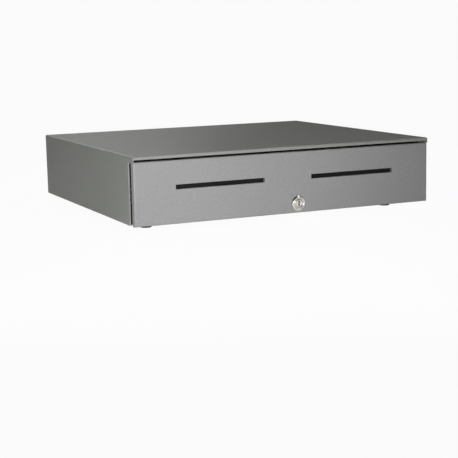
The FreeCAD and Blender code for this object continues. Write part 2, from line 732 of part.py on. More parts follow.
def coin_cup(n):
    """A loose coin cup with a scooped floor."""
    pitch = 2 * till_in / coin_slots
    x0 = -till_in + n * pitch + cup_gap / 2
    x1 = x0 + pitch - cup_gap
    y0, y1 = y_till + till_wall + cup_gap, y_cross - cup_gap
    z0 = z_till_in
    top = z0 + cup_height

    def scooped(inset):
        """The cup's side view, drawn in by a wall: upright ends that curve into the floor."""
        low = z0 + inset
        radius = cup_scoop - inset
        points = [(y0 + inset, top + (1 if inset else 0)), (y0 + inset, low), (y1 - inset, low),
                  (y1 - inset, top + (1 if inset else 0))]
        place = lambda y, z: V(x0 + inset, y, z)
        edges = rounded(points, [radius, radius], place)
        edges.append(Part.makeLine(place(*points[-1]), place(*points[0])))
        return Part.Face(Part.Wire(edges)).extrude(V(x1 - x0 - 2 * inset, 0, 0))

    return scooped(0).cut(scooped(cup_wall))


def bill_dividers():
    """Four upright dividers in the bill bay, notched for the shaft of the bill weights."""
    plates = []
    front, rear = y_bills + 0.2, y_bills_rear - 0.2
    crown = till_top - 3.0
    for n in range(1, bill_slots):
        x = -till_in - divider + n * bill_pitch
        place = lambda y, z: V(x, y, z)
        points = [(rear, z_till_in), (rear, crown), (rear - 60, crown), (rear - 80, crown - 12),
                  (front + 25, crown - 12), (front, crown), (front, z_till_in)]
        edges = rounded(points, [2.0, 20.0, 20.0, 20.0, 2.0], place)
        edges.append(Part.makeLine(place(*points[-1]), place(*points[0])))
        plate = Part.Face(Part.Wire(edges)).extrude(V(divider, 0, 0))
        groove = shaft_d / 2 + 0.05
        notch = [rod((x - 1, shaft_y, shaft_z), (x + divider + 1, shaft_y, shaft_z), 2 * groove),
                 box(x - 1, x + divider + 1, shaft_y - groove, shaft_y + groove, shaft_z, till_top)]
        plates.append(plate.cut(notch))
    return Part.makeCompound(plates)


def weight_shaft():
    """Steel rod across the till that the bill weights turn on."""
    half = till_in - 0.1
    shaft = rod((-half, shaft_y, shaft_z), (half, shaft_y, shaft_z), shaft_d)
    return shaft


def bill_slot_centre(n):
    return -till_in - divider / 2 + (n + 0.5) * bill_pitch


def bill_weight(n):
    """A bill weight: hub on the shaft, bent arm, and a wide foot with a turned-up toe."""
    x = bill_slot_centre(n)
    floor = z_till_in + running_gap
    heel = shaft_y - arm_reach + 26
    toe = shaft_y - arm_reach
    hub = rod((x - hub_length / 2, shaft_y, shaft_z), (x + hub_length / 2, shaft_y, shaft_z), hub_d)
    under = shaft_z - hub_d / 2
    path = [(shaft_y - 1, under), (shaft_y - 16, under), (heel, floor), (toe, floor)]
    arm = across(path, -arm_sheet, 8.0, x - arm_width / 2, x + arm_width / 2)
    foot_path = [(heel + 4, floor), (toe + 5, floor), (toe - 4, floor + 8)]
    foot = across(foot_path, -arm_sheet, 5.0, x - pad_width / 2, x + pad_width / 2)
    foot = round_edges(foot, 4.0, lambda c, e: e.Length < arm_sheet + 0.1 and c.y > heel)
    bore = rod((x - hub_length, shaft_y, shaft_z), (x + hub_length, shaft_y, shaft_z),
               shaft_d + 2 * hub_clearance)
    return join([hub, arm, foot]).cut(bore)


def weight_springs():
    """Torsion springs beside each hub."""
    springs = []
    for n in range(bill_slots):
        x = bill_slot_centre(n) + hub_length / 2 + 0.6
        springs.append(coil((x, shaft_y, shaft_z), (1, 0, 0), shaft_d + 2.4, 0.8, 3.6, 3))
    return Part.makeCompound(springs)


# ---------------------------------------------------------------- latch, behind the tray
y_latch = y_tray_rear + 17.0                    # middle of the lever's plate
pivot_z = 62.0
strike_z = 50.5                                 # underside of the strike's tongue
strike_sheet = 1.5
lever_y0, lever_y1 = y_latch - latch_plate / 2, y_latch + latch_plate / 2
bracket_y = lever_y1 + 2.5
pivot_d = 6.0


def latch_strike():
    """Tongue on the back of the tray, with a window that the latch's tooth drops into."""
    x0, x1 = latch_x - latch_arm - 10, latch_x - latch_arm + 14
    tongue = across([(y_tray_rear, strike_z - 22), (y_tray_rear, strike_z + strike_sheet),
                     (y_latch + 8, strike_z + strike_sheet)], -strike_sheet, 1.0, x0, x1)
    window = box(x0 + 4, x1 - 4, lever_y0 - 2, lever_y1 + 2, strike_z - 2, strike_z + 4)
    return tongue.cut(window)


def released(shape):
    """Turns a latch piece from its latched place to its released one."""
    turned = shape.copy()
    turned.rotate(V(latch_x, y_latch, pivot_z), V(0, 1, 0), latch_angle)
    return turned


def latch_lever():
    """Rocking lever: tooth at one end, the solenoid's slotted end at the other."""
    x = latch_x
    tooth = x - latch_arm
    body = outline_facing([
        (tooth - 4, strike_z - 3.5), (tooth + 1, strike_z - 3.5), (tooth + 4, strike_z + 1),
        (tooth + 4, pivot_z - 5), (x + plunger_arm - 4, pivot_z - 5),
        (x + plunger_arm + 5, pivot_z - 4), (x + plunger_arm + 5, pivot_z + 4),
        (x + 8, pivot_z + 7), (x - 8, pivot_z + 7), (tooth - 4, pivot_z + 3),
    ], lever_y0, lever_y1)
    body = body.cut(rod((x, lever_y0 - 1, pivot_z), (x, lever_y1 + 1, pivot_z), pivot_d + 0.12))
    slot = join([
        rod((x + plunger_arm + s, lever_y0 - 1, pivot_z), (x + plunger_arm + s, lever_y1 + 1, pivot_z), 3.4)
        for s in (-1.2, 1.2)] + [box(x + plunger_arm - 1.2, x + plunger_arm + 1.2, lever_y0 - 1, lever_y1 + 1,
                                     pivot_z - 1.7, pivot_z + 1.7)])
    return released(body.cut(slot))


def latch_bracket():
    """Folded bracket that stands on the floor and holds the lever's pivot."""
    x0, x1 = latch_x - 13, latch_x + 8
    high = pivot_z + bracket_above
    plate = across([(bracket_y, high), (bracket_y, z_bay), (bracket_y + bracket_foot, z_bay)],
                   bracket_plate, 1.0, x0, x1)
    plate = round_edges(plate, 5.0,
                        lambda c, e: abs(c.z - high) < 0.01 and abs(e.Length - bracket_plate) < 0.01)
    hole = rod((latch_x, bracket_y - 1, pivot_z), (latch_x, bracket_y + 3, pivot_z), pivot_d + screw_slack)
    return plate.cut(hole)


def latch_pin():
    """Shouldered pivot pin, riveted into the bracket."""
    start, end = lever_y0 - 2.2, bracket_y + 2.0
    pin = rod((latch_x, start + 1.7, pivot_z), (latch_x, end, pivot_z), pivot_d)
    head = rod((latch_x, start, pivot_z), (latch_x, start + 1.8, pivot_z), pivot_d + 4)
    return join([head, pin])


def latch_spring():
    """Torsion spring on the pivot, between the lever and the bracket."""
    return coil((latch_x, lever_y1 + 0.65, pivot_z), (0, 1, 0), pivot_d + 2.2, 0.9, 1.3, 1.3)


plunger_x = latch_x + plunger_arm
plunger_d = 9.0
coil_d = 22.0
solenoid_half = 13.0
solenoid_top = 47.0


def solenoid_frame():
    """Open steel yoke round the coil, standing on the floor."""
    y0, y1 = y_latch - solenoid_half, y_latch + solenoid_half
    yoke = across([(y0, z_bay), (y1, z_bay), (y1, solenoid_top), (y0, solenoid_top)], 2.0, 1.0,
                  plunger_x - 10.0, plunger_x + 12.0)
    low, high = solenoid_top - 4, solenoid_top + 1
    hole = rod((plunger_x, y_latch, low), (plunger_x, y_latch, high), plunger_d + 0.6)
    return yoke.cut(hole)


def solenoid_coil():
    """Bobbin with its winding, bored for the plunger."""
    z0, z1 = z_bay + 2.0, solenoid_top - 2.0
    pieces = [rod((plunger_x, y_latch, z0), (plunger_x, y_latch, z1), coil_d - 4),
              rod((plunger_x, y_latch, z0), (plunger_x, y_latch, z0 + 1.5), coil_d - 2),
              rod((plunger_x, y_latch, z1 - 1.5), (plunger_x, y_latch, z1), coil_d - 2),
              rod((plunger_x, y_latch, z0 + 2.5), (plunger_x, y_latch, z1 - 2.5), coil_d - 2.6)]
    return join(pieces).cut(rod((plunger_x, y_latch, z0 + 3), (plunger_x, y_latch, z1 + 1), plunger_d + 0.6))


def solenoid_plunger():
    """Plunger with a forked top and its cross pin, drawn down in the released state."""
    drop = plunger_arm * math.sin(math.radians(latch_angle))
    pin_z = pivot_z - drop
    body = rod((plunger_x, y_latch, z_bay + 9), (plunger_x, y_latch, pin_z + 4), plunger_d)
    fork = box(plunger_x - 6, plunger_x + 6, lever_y0 - 0.4, lever_y1 + 0.4, pin_z - 8, pin_z + 6)
    flats = [box(plunger_x - 6, plunger_x + 6, y_latch + s - 6, y_latch + s + 6, pin_z - 9, pin_z + 6)
             for s in (-9.7, 9.7)]
    pin = rod((plunger_x, lever_y0 - 2.6, pin_z), (plunger_x, lever_y1 + 2.6, pin_z), 3.0)
    return join([body.cut([fork] + flats), pin])


# ---------------------------------------------------------------- switch, kick-out spring, interface
switch_x = 62.0
switch_z = 42.0
switch_y = y_tray_rear + 4.5                    # face of the switch's body
leaf_sheet = 0.4
leaf_eye = (switch_x + 9.0, switch_y - 0.95)    # axis that the leaf turns on, in plan
eye_r = 0.9
eye_pin_r = 0.5
leaf_root = (leaf_eye[0], leaf_eye[1] - eye_r)  # front face of the leaf
leaf_tip = (switch_x - 11.0, y_tray_rear + running_gap)
button_x = switch_x - 2.0
button_y = leaf_tip[1] + leaf_sheet + 0.1 + (button_x - leaf_tip[0]) * (
    (leaf_root[1] - leaf_tip[1]) / (leaf_root[0] - leaf_tip[0])) + 0.15


def drawer_switch():
    """Miniature switch, which tells the till that the drawer is shut."""
    y0 = switch_y
    body = box(switch_x - 10, switch_x + 10, y0, y0 + 10.5, switch_z - 3.2, switch_z + 3.2)
    body = round_edges(body, 0.8, lambda c, e: abs(c.y - y0) < 0.01)
    button = rod((button_x, button_y, switch_z), (button_x, y0 + 1, switch_z), 2.4)
    legs = [box(switch_x + s - 1.5, switch_x + s + 1.5, y0 + 10.4, y0 + 15, switch_z - 0.3, switch_z + 0.3)
            for s in (-7, 0, 7)]
    ex, ey = leaf_eye
    pin = rod((ex, ey, switch_z - 3.2), (ex, ey, switch_z + 3.2), 2 * eye_pin_r)
    lugs = [box(ex - eye_pin_r, ex + eye_pin_r, ey, y0 + 1, z - 0.5, z + 0.5)
            for z in (switch_z - 2.7, switch_z + 2.7)]
    return join([body, button, pin] + legs + lugs)


def switch_stand():
    """Folded stand that the switch is screwed to."""
    y0 = switch_y + 1.0
    top = switch_z - 3.2 - sheet
    path = [(switch_x + 22, z_bay), (switch_x + 8.6, z_bay), (switch_x + 8.6, top), (switch_x - 9, top)]
    return lengthwise(path, -sheet, 0.8, y0, y0 + 9.0)


def switch_lever():
    """Spring leaf that the back of the tray presses, curled at its free end."""
    path = [leaf_root, leaf_tip, (leaf_tip[0] - 2.5, leaf_tip[1] + 1.8)]
    leaf = folded(path, -leaf_sheet, 0.8, lambda x, y: V(x, y, switch_z - 2.0), V(0, 0, 4.0))
    low, high = (*leaf_eye, switch_z - 2.0), (*leaf_eye, switch_z + 2.0)
    return join([leaf, rod(low, high, 2 * eye_r)]).cut(rod(low, high, 2 * (eye_pin_r + plug_clearance)))


kick_x = -130.0
kick_z = 50.0
kick_stroke = 20.0
kick_head_d = 20.0
kick_stem_d = 8.0
kick_clip_d = 12.0
kick_spring_d = 13.0        # to the middle of its wire
kick_plate = 2.0
kick_width = 30.0
kick_above = 14.0           # bracket's top over the rod
kick_foot = 18.0
kick_tail = 2.8             # stem behind the bracket when the rod is right out
kick_plate_y = y_base_rear - sheet - 0.6 - kick_tail - kick_stroke - kick_plate


def kick_bracket():
    """Folded bracket that guides the kick-out rod."""
    plate = across([(kick_plate_y, kick_z + kick_above), (kick_plate_y, z_bay),
                    (kick_plate_y + kick_foot, z_bay)],
                   kick_plate, 1.0, kick_x - kick_width / 2, kick_x + kick_width / 2)
    return plate.cut(rod((kick_x, kick_plate_y - 1, kick_z), (kick_x, kick_plate_y + 4, kick_z),
                         kick_stem_d + 0.3))


def kick_rod():
    """Plastic pusher: a domed head against the tray, a stem through the bracket, a clip behind it."""
    y0 = y_tray_rear + running_gap
    head = rod((kick_x, y0, kick_z), (kick_x, y0 + 4, kick_z), kick_head_d)
    head = round_edges(head, 2.0, lambda c, e: abs(c.y - y0) < 0.01)
    end = kick_plate_y + kick_plate + kick_stroke + kick_tail
    stem = rod((kick_x, y0 + 3, kick_z), (kick_x, end, kick_z), kick_stem_d)
    clip = rod((kick_x, end - 2.5, kick_z), (kick_x, end - 1.3, kick_z), kick_clip_d)
    return join([head, stem, clip])


def kick_spring():
    """Compressed spring between the pusher's head and the bracket."""
    y0 = y_tray_rear + running_gap + 4 + 0.9
    length = kick_plate_y - y0 - 0.9
    return coil((kick_x, y0, kick_z), (0, 1, 0), kick_spring_d, 1.6, length, 5)


jack_x = 130.0
jack_z = 48.0
jack_w = 17.0
jack_h = 14.0
board_y = y_base_rear - sheet - 11.8            # rear face of the board, on its spacers
board_sheet = 1.6
board_left = 34.0
board_right = 30.0
board_above = 26.0
board_below = 22.0
header_w = 14.0
header_h = 7.4
header_drop = 15.5          # header's middle under the jack's


def interface_board():
    """Circuit board on two spacers, ahead of the rear wall, with its connector and parts."""
    x0, x1 = jack_x - board_left, jack_x + board_right
    top = jack_z + board_above
    board = box(x0, x1, board_y - board_sheet, board_y, jack_z - board_below, top)
    board = round_edges(board, 2.0, lambda c, e: abs(e.Length - board_sheet) < 0.01)
    spacers = [rod((x, board_y, top - 6), (x, y_base_rear - sheet, top - 6), 6.0) for x in (x0 + 6, x1 - 6)]
    face = board_y - board_sheet
    hx, hz = x0 + header_w / 2 + 4, jack_z - header_drop
    header = box(hx - header_w / 2, hx + header_w / 2, face - header_h, face, hz - 3.5, hz + 3.5)
    header = header.cut(box(hx - header_w / 2 + 1, hx + header_w / 2 - 1, face - header_h - 1, face - 2.4,
                            hz - 2.5, hz + 2.5))
    capacitor = rod((jack_x + 16, face, jack_z - 8), (jack_x + 16, face - 11.4, jack_z - 8), 8.0)
    relay = box(jack_x - 14, jack_x + 4, face - 9.4, face, jack_z + 4, jack_z + 16)
    return join([board, header, capacitor, relay] + spacers)


def interface_jack():
    """Modular socket for the printer's cable, flush with the rear flange."""
    y1 = y_rear
    body = box(jack_x - jack_w / 2, jack_x + jack_w / 2, board_y, y1,
               jack_z - jack_h / 2, jack_z + jack_h / 2)
    mouth = box(jack_x - 5.0, jack_x + 5.0, y1 - 11, y1 + 1, jack_z - 3.4, jack_z + 3.6)
    notch = box(jack_x - 3.2, jack_x + 3.2, y1 - 9, y1 + 1, jack_z - 5.6, jack_z - 3.2)
    return body.cut([mouth, notch])


def wire(points, diameter):
    """An insulated lead on a path of straight runs and arcs that are as large as the runs allow."""
    path = [V(*p) for p in points]
    edges, at = [], path[0]
    for before, corner, after in zip(path, path[1:], path[2:]):
        u, w = (before - corner), (after - corner)
        shorter = min(u.Length, w.Length)
        u.normalize()
        w.normalize()
        half = u.getAngle(w) / 2
        back = 0.45 * shorter
        radius = back * math.tan(half)
        bisector = (u + w).normalize()
        start, end = corner + u * back, corner + w * back
        middle = corner + bisector * (radius / math.sin(half) - radius)
        edges += [Part.makeLine(at, start), Part.Arc(start, middle, end).toShape()]
        at = end
    edges.append(Part.makeLine(at, path[-1]))
    section = Part.Wire(Part.makeCircle(diameter / 2, path[0], path[1] - path[0]))
    return Part.Wire(edges).makePipeShell([section], True, False)


def latch_leads():
    """Leads from the board's header: two over the floor to the solenoid, two across to the switch."""
    lead_d, pitch = 1.8, 2.8
    floor = z_bay + lead_d / 2 + 0.05
    plug_y, plug_z = board_y - board_sheet - 2.4, jack_z - header_drop
    leads = []
    for n in range(4):
        x = jack_x - board_left + 4 + header_w / 2 + pitch * (n - 1.5)
        out = [(x, plug_y, plug_z), (x, plug_y - 12 - n, plug_z)]
        if n < 2:
            y = y_latch - pitch / 2 + pitch * n
            touch = math.sqrt((coil_d / 2 - 1.3) ** 2 - (pitch / 2) ** 2) + 0.15
            route = [(x - 12, y + 14, floor), (plunger_x + 40, y + 6, floor),
                     (plunger_x + 20, y, floor + 9), (plunger_x + touch, y, floor + 9)]
        else:
            leg = (switch_x + (7 if n == 2 else -7), switch_y + 15.0, switch_z)
            route = [(x - 18, leg[1] + 8 + pitch * (n - 2), leg[2] - 4), (leg[0], leg[1] + 6, leg[2]), leg]
        leads.append(wire(out + route, lead_d))
    return Part.makeCompound(leads)


# ---------------------------------------------------------------- the nodes
def nodes():
    """Every sub-part by the name of its node."""
    made = {
        "case_cover": case_cover(),
        "base_pan": base_pan(),
        "rubber_feet": rubber_feet(),
        "case_screws": case_screws(),
        "foot_screws": foot_screws(),
        "outer_ball_cages": outer_cages(),
        "inner_ball_cages": inner_cages(),
        "fixed_rail_screws": rail_screws(),
        "tray_screws": tray_screws(),
        "drawer_tray": drawer_tray(),
        "drawer_front": drawer_front(),
        "front_standoffs": front_standoffs(),
        "front_screws": front_screws(),
        "till_rails": till_rails(),
        "lock_body": lock_body(),
        "lock_nut": lock_nut(),
        "lock_plug": lock_plug(),
        "lock_cam": lock_cam(),
        "cam_screw": cam_screw(),
        "lock_guard": lock_guard(),
        "till_body": till_body(),
        "bill_dividers": bill_dividers(),
        "weight_shaft": weight_shaft(),
        "weight_springs": weight_springs(),
        "latch_strike": latch_strike(),
        "latch_lever": latch_lever(),
        "latch_bracket": latch_bracket(),
        "latch_pin": latch_pin(),
        "latch_spring": latch_spring(),
        "solenoid_frame": solenoid_frame(),
        "solenoid_coil": solenoid_coil(),
        "solenoid_plunger": solenoid_plunger(),
        "drawer_switch": drawer_switch(),
        "switch_stand": switch_stand(),
        "switch_lever": switch_lever(),
        "kick_bracket": kick_bracket(),
        "kick_rod": kick_rod(),
        "kick_spring": kick_spring(),
        "interface_board": interface_board(),
        "interface_jack": interface_jack(),
        "latch_leads": latch_leads(),
    }
    rails = (("fixed_rail", fixed_rail), ("middle_rail", middle_rail), ("moving_rail", moving_rail))
    for name, make in rails:
        right = make()
        made[name + "_right"] = right
        made[name + "_left"] = mirror_x(right)
    for name, side in (("left", -1), ("right", 1)):
        made["media_chute_" + name] = media_chute(side)
    for n in range(coin_slots):
        made[f"coin_cup_{n + 1}"] = coin_cup(n)
    for n in range(bill_slots):
        made[f"bill_weight_{n + 1}"] = bill_weight(n)
    return made


def main():
    os.makedirs("parts", exist_ok=True)
    for name, shape in nodes().items():
        sound = shape.isValid() and all(s.Volume > 0 for s in shape.Solids) and shape.Solids
        print(f"{name:20s} {'ok ' if sound else 'BAD'} {len(shape.Solids)} solids {shape.Volume:.0f} mm3")
        shape.exportStep(f"parts/{name}.step")


main()
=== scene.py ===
"""Point-of-sale cash drawer: its finishes, its small turned and moulded parts, and a studio."""
import json
import math

import bmesh
import bpy
from bpy.props import FloatProperty, FloatVectorProperty, IntProperty, PointerProperty
from mathutils import Matrix, Vector


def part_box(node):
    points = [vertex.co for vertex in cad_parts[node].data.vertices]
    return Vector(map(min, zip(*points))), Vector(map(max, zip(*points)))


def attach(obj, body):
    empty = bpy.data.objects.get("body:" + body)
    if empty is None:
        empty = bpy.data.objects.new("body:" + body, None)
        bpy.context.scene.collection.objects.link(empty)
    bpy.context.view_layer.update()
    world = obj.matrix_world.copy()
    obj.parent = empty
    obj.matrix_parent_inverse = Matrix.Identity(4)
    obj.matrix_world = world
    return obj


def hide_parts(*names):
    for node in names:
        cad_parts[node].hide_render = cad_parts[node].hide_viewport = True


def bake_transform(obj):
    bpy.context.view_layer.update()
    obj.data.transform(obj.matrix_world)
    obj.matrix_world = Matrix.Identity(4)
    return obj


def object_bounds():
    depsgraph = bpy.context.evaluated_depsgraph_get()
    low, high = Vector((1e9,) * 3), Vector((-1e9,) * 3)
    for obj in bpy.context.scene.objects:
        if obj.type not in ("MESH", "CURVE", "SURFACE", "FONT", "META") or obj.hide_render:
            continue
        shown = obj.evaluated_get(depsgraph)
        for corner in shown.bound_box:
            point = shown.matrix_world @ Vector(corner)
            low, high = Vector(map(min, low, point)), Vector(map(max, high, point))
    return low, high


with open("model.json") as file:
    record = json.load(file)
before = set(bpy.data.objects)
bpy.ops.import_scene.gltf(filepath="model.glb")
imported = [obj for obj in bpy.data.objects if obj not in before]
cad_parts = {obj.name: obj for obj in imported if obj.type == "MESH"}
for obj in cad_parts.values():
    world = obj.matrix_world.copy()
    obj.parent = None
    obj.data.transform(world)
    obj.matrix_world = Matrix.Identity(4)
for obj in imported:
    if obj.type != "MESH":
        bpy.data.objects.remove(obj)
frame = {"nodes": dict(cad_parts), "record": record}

bl_info = {
    "name": "Cash Drawer",
    "version": (1, 0, 0),
    "blender": (4, 5, 0),
    "location": "3D View > Sidebar > Cash Drawer",
    "description": "Finishes, small parts and studio for a point-of-sale cash drawer",
    "category": "Object",
}

CAD_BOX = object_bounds()
SLOTS = {part["node"]: part["material_slot"] for part in frame["record"]["subparts"]}
FINISHES = {}
MM = 0.001
TAU = 2 * math.pi
SHARP = 0.5                 # an edge that turns by more than this, in radians, can be rounded


# ---------------------------------------------------------------- values a user would change
def linear(code):
    """An sRGB hex colour as the linear numbers that shaders take."""
    parts = [int(code[i:i + 2], 16) / 255 for i in (0, 2, 4)]
    return tuple(c / 12.92 if c <= 0.04045 else ((c + 0.055) / 1.055) ** 2.4 for c in parts)


def colour(name, description, code):
    """A colour property. Its default is an sRGB hex colour."""
    return FloatVectorProperty(name=name, description=description, default=linear(code),
                               subtype="COLOR", size=3, min=0.0, max=1.0)


def length(name, description, millimetres):
    """A length property. Its default is in millimetres."""
    return FloatProperty(name=name, description=description, default=millimetres * MM,
                         subtype="DISTANCE", unit="LENGTH", min=0.0)


def power(name, description, watts):
    """The power of a lamp."""
    return FloatProperty(name=name, description=description, default=watts, unit="POWER", min=0.0)


class DrawerFinishes(bpy.types.PropertyGroup):
    """Colours of the drawer, and the grain of its paint."""

    # The case and the front have the same paint; the cover's colour is painted a little darker and more
    # olive, a shaded copy of the front's colour, as the case's side looks in its light.
    cover: colour("Cover", "Powder coat of the case", "8E908B")
    front: colour("Front", "Powder coat of the drawer front", "929292")
    pan: colour("Base pan", "Powder coat of the floor and the rear wall", "3A3B3A")
    tray: colour("Tray", "Powder coat of the drawer's inner tray", "303131")
    till: colour("Till", "Moulded till and its dividers", "323335")
    cups: colour("Coin cups", "Moulded loose coin cups", "3F4144")
    zinc: colour("Zinc plate", "Slides and screws", "B9BCBE")
    track: length("Tracks", "Distance between tracks on the circuit board", 1.3)
    paint_grain: length("Paint grain", "Size of a grain in the textured paint", 0.8)
    grain_depth: length("Grain depth", "Height of a grain in the textured paint", 0.05)


class DrawerCover(bpy.types.PropertyGroup):
    """Sizes of the tabs that close the ends of the gap under the cover's lip."""

    sheet: length("Sheet", "Thickness of the cover's sheet", 1.2)
    clearance: length("Clearance", "Between the tabs and the drawer front", 0.2)
    overlap: length("Overlap", "How far the tabs reach below the drawer front's top edge", 1.4)


class DrawerLock(bpy.types.PropertyGroup):
    """Sizes of the turned and broached parts of the lock."""

    chamfer: length("Chamfer", "Bevel round the lock's cap", 1.6)
    groove: length("Groove", "Width of the turned groove in the cap's face", 0.7)
    pitch: length("Thread pitch", "Pitch of the thread on the barrel", 1.0)
    key_width: length("Keyway width", "Width of the keyway", 2.2)
    key_height: length("Keyway height", "Height of the keyway", 8.4)


class DrawerScrews(bpy.types.PropertyGroup):
    """Sizes of the cross-recessed screws."""

    recess: length("Recess", "Half the span of the cross recess", 2.1)
    recess_width: length("Recess width", "Width of a wing of the cross recess", 0.95)
    pitch: length("Thread pitch", "Pitch of the screws' thread", 0.7)


class DrawerBoard(bpy.types.PropertyGroup):
    """Sizes on the interface board, its socket and the solenoid."""

    sheet: length("Sheet", "Thickness of the circuit board", 1.6)
    stand: length("Stand-off", "Height of the spacers behind the board", 11.8)
    wire: length("Wire", "Distance between the winding's turns", 0.6)
    contact_pitch: length("Contact pitch", "Distance between the contacts in the socket", 1.27)


class DrawerPusher(bpy.types.PropertyGroup):
    """Sizes of the spring on the pusher behind the drawer."""

    wire: length("Wire", "Thickness of the spring's wire", 1.6)
    turns: IntProperty(name="Turns", description="Turns of the spring", default=5, min=2)
    steps: IntProperty(name="Steps", description="Straight runs in each turn", default=28, min=8)


class DrawerStage(bpy.types.PropertyGroup):
    """Camera, lamps and floor."""

    distance: FloatProperty(name="Distance", description="From the camera to the drawer, on the plan",
                            default=1.92, unit="LENGTH", min=0.5)
    height: FloatProperty(name="Height", description="Camera over the floor", default=0.279,
                          unit="LENGTH")
    azimuth: FloatProperty(name="Azimuth", description="Camera round the drawer, from straight ahead",
                           default=math.radians(-24.3), subtype="ANGLE", unit="ROTATION")
    lens: FloatProperty(name="Lens", description="Focal length on a 36 mm sensor", default=94.0,
                        subtype="DISTANCE_CAMERA", min=10.0)
    roll: FloatProperty(name="Roll", description="Camera about its own axis",
                        default=math.radians(-1.25), subtype="ANGLE", unit="ROTATION")
    drop: length("Drop", "How far below the drawer's middle the camera looks", 97.0)
    key: power("Key", "Power of the lamp before the drawer", 0.98)
    fill: power("Fill", "Power of the lamp at its left side", 1.45)
    top: power("Strip", "Power of the strip lamp overhead", 0.6)
    rim: power("Rim", "Power of the strip lamp behind", 0.7)
    rear: power("Rear", "Power of the lamp behind it", 0.8)
    sky: FloatProperty(name="Room", description="Brightness of the room at eye level",
                       default=0.4, min=0.0)
    floor: colour("Floor", "Paper floor and backdrop", "F2F2F2")


# ---------------------------------------------------------------- nodes and finishes
def add(tree, kind, links=None, **settings):
    """Adds a shader node. A link takes another node's socket, or a value for the socket it names."""
    node = tree.nodes.new("ShaderNode" + kind)
    for name, value in settings.items():
        setattr(node, name, value)
    for socket, value in (links or {}).items():
        if isinstance(value, bpy.types.NodeSocket):
            tree.links.new(value, node.inputs[socket])
        else:
            node.inputs[socket].default_value = value
    return node


def finish(name, surface):
    """A material from surface(tree, where), which returns its shader; where is the object's own space."""
    material = bpy.data.materials.new(name)
    material.use_nodes = True
    tree = material.node_tree
    tree.nodes.clear()
    where = add(tree, "TexCoord").outputs["Object"]
    shader = surface(tree, where)
    add(tree, "OutputMaterial", {"Surface": shader.outputs[0]})
    return material


def four(rgb):
    """A colour with its opacity, as a shader's socket takes it."""
    return (*rgb, 1.0)


def shaded(tree, rgb, tone):
    """One colour made lighter and darker by tone, which is about 1."""
    return add(tree, "HueSaturation", {"Color": four(rgb), "Value": tone}).outputs[0]


def spread(tree, value, low, high, near=0.35, far=0.65):
    """A texture's value stretched to lie between low and high."""
    return add(tree, "MapRange", {"Value": value, "From Min": near, "From Max": far,
                                  "To Min": low, "To Max": high}).outputs[0]


def grains(tree, where, size, detail=2.0, stretch=None):
    """Noise whose blobs are about size across, in metres, stretched along any axis."""
    if stretch:
        where = add(tree, "Mapping", {"Vector": where, "Scale": stretch}).outputs[0]
    return add(tree, "TexNoise", {"Vector": where, "Scale": 0.5 / size, "Detail": detail,
                                  "Roughness": 0.55}).outputs["Fac"]


def powder_coat(name, rgb, size, depth, speck, rough):
    """Polyester powder, sprayed and baked: low round grains that break up a satin sheen."""
    def surface(tree, where):
        grain = grains(tree, where, size)
        fine = grains(tree, where, size * 0.45)
        drift = grains(tree, where, 0.09, 1.0)
        specks = add(tree, "Math", {0: spread(tree, grain, -speck, speck),
                                    1: spread(tree, fine, -speck, speck)}, operation="ADD").outputs[0]
        tone = add(tree, "Math", {0: specks, 1: spread(tree, drift, 0.975, 1.025)},
                   operation="ADD").outputs[0]
        bump = add(tree, "Bump", {"Height": grain, "Strength": 1.0, "Distance": depth}).outputs[0]
        return add(tree, "BsdfPrincipled", {
            "Base Color": shaded(tree, rgb, tone),
            "Roughness": spread(tree, fine, rough - 0.07, rough + 0.07), "IOR": 1.5, "Normal": bump})
    return finish(name, surface)


def rolled_zinc(name, rgb, along, rough):
    """Bright zinc on cold-rolled strip: fine lines along the strip, and a faint bloom of the passivate."""
    def surface(tree, where):
        # Rolling lines are about 0.1 mm apart; they are drawn 0.4 mm apart, so that they show.
        stretch = tuple(0.02 if axis == along else 1.0 for axis in "XYZ")
        lines = grains(tree, where, 0.4 * MM, 2.0, stretch)
        bloom = grains(tree, where, 22 * MM, 3.0)
        bump = add(tree, "Bump", {"Height": lines, "Strength": 0.6, "Distance": 0.02 * MM}).outputs[0]
        return add(tree, "BsdfPrincipled", {
            "Base Color": shaded(tree, rgb, spread(tree, bloom, 0.88, 1.08)), "Metallic": 1.0,
            "Roughness": spread(tree, lines, rough - 0.05, rough + 0.09), "Normal": bump})
    return finish(name, surface)


def galvanised(name, rgb, spangle):
    """Hot-dipped sheet: flat crystals that each take the light at their own tone."""
    def surface(tree, where):
        cells = add(tree, "TexVoronoi", {"Vector": where, "Scale": 1 / spangle}).outputs["Color"]
        tone = add(tree, "SeparateColor", {"Color": cells}).outputs[0]
        dull = grains(tree, where, 1.5 * MM, 3.0)
        return add(tree, "BsdfPrincipled", {
            "Base Color": shaded(tree, rgb, spread(tree, tone, 0.86, 1.08, 0.0, 1.0)), "Metallic": 1.0,
            "Roughness": spread(tree, dull, 0.38, 0.52)})
    return finish(name, surface)


def plated(name, rgb, rough):
    """Nickel over a polished die casting: a near mirror, with painted shade that darkens its colour in
    recesses such as the keyway, grooves and thread valleys.
    """
    def surface(tree, where):
        haze = grains(tree, where, 2.5 * MM, 4.0)
        # Painted shade: ambient occlusion darkens the plating's colour in recesses, down to 0.12 of it.
        painted_recess_shade = add(tree, "AmbientOcclusion", {"Distance": 3 * MM}, samples=6).outputs["AO"]
        tone = add(tree, "Math", {0: spread(tree, haze, 0.97, 1.02),
                                  1: spread(tree, painted_recess_shade, 0.12, 1.0, 0.1, 0.75)},
                   operation="MULTIPLY").outputs[0]
        return add(tree, "BsdfPrincipled", {
            "Base Color": shaded(tree, rgb, tone), "Metallic": 1.0,
            "Roughness": spread(tree, haze, rough - 0.03, rough + 0.05)})
    return finish(name, surface)


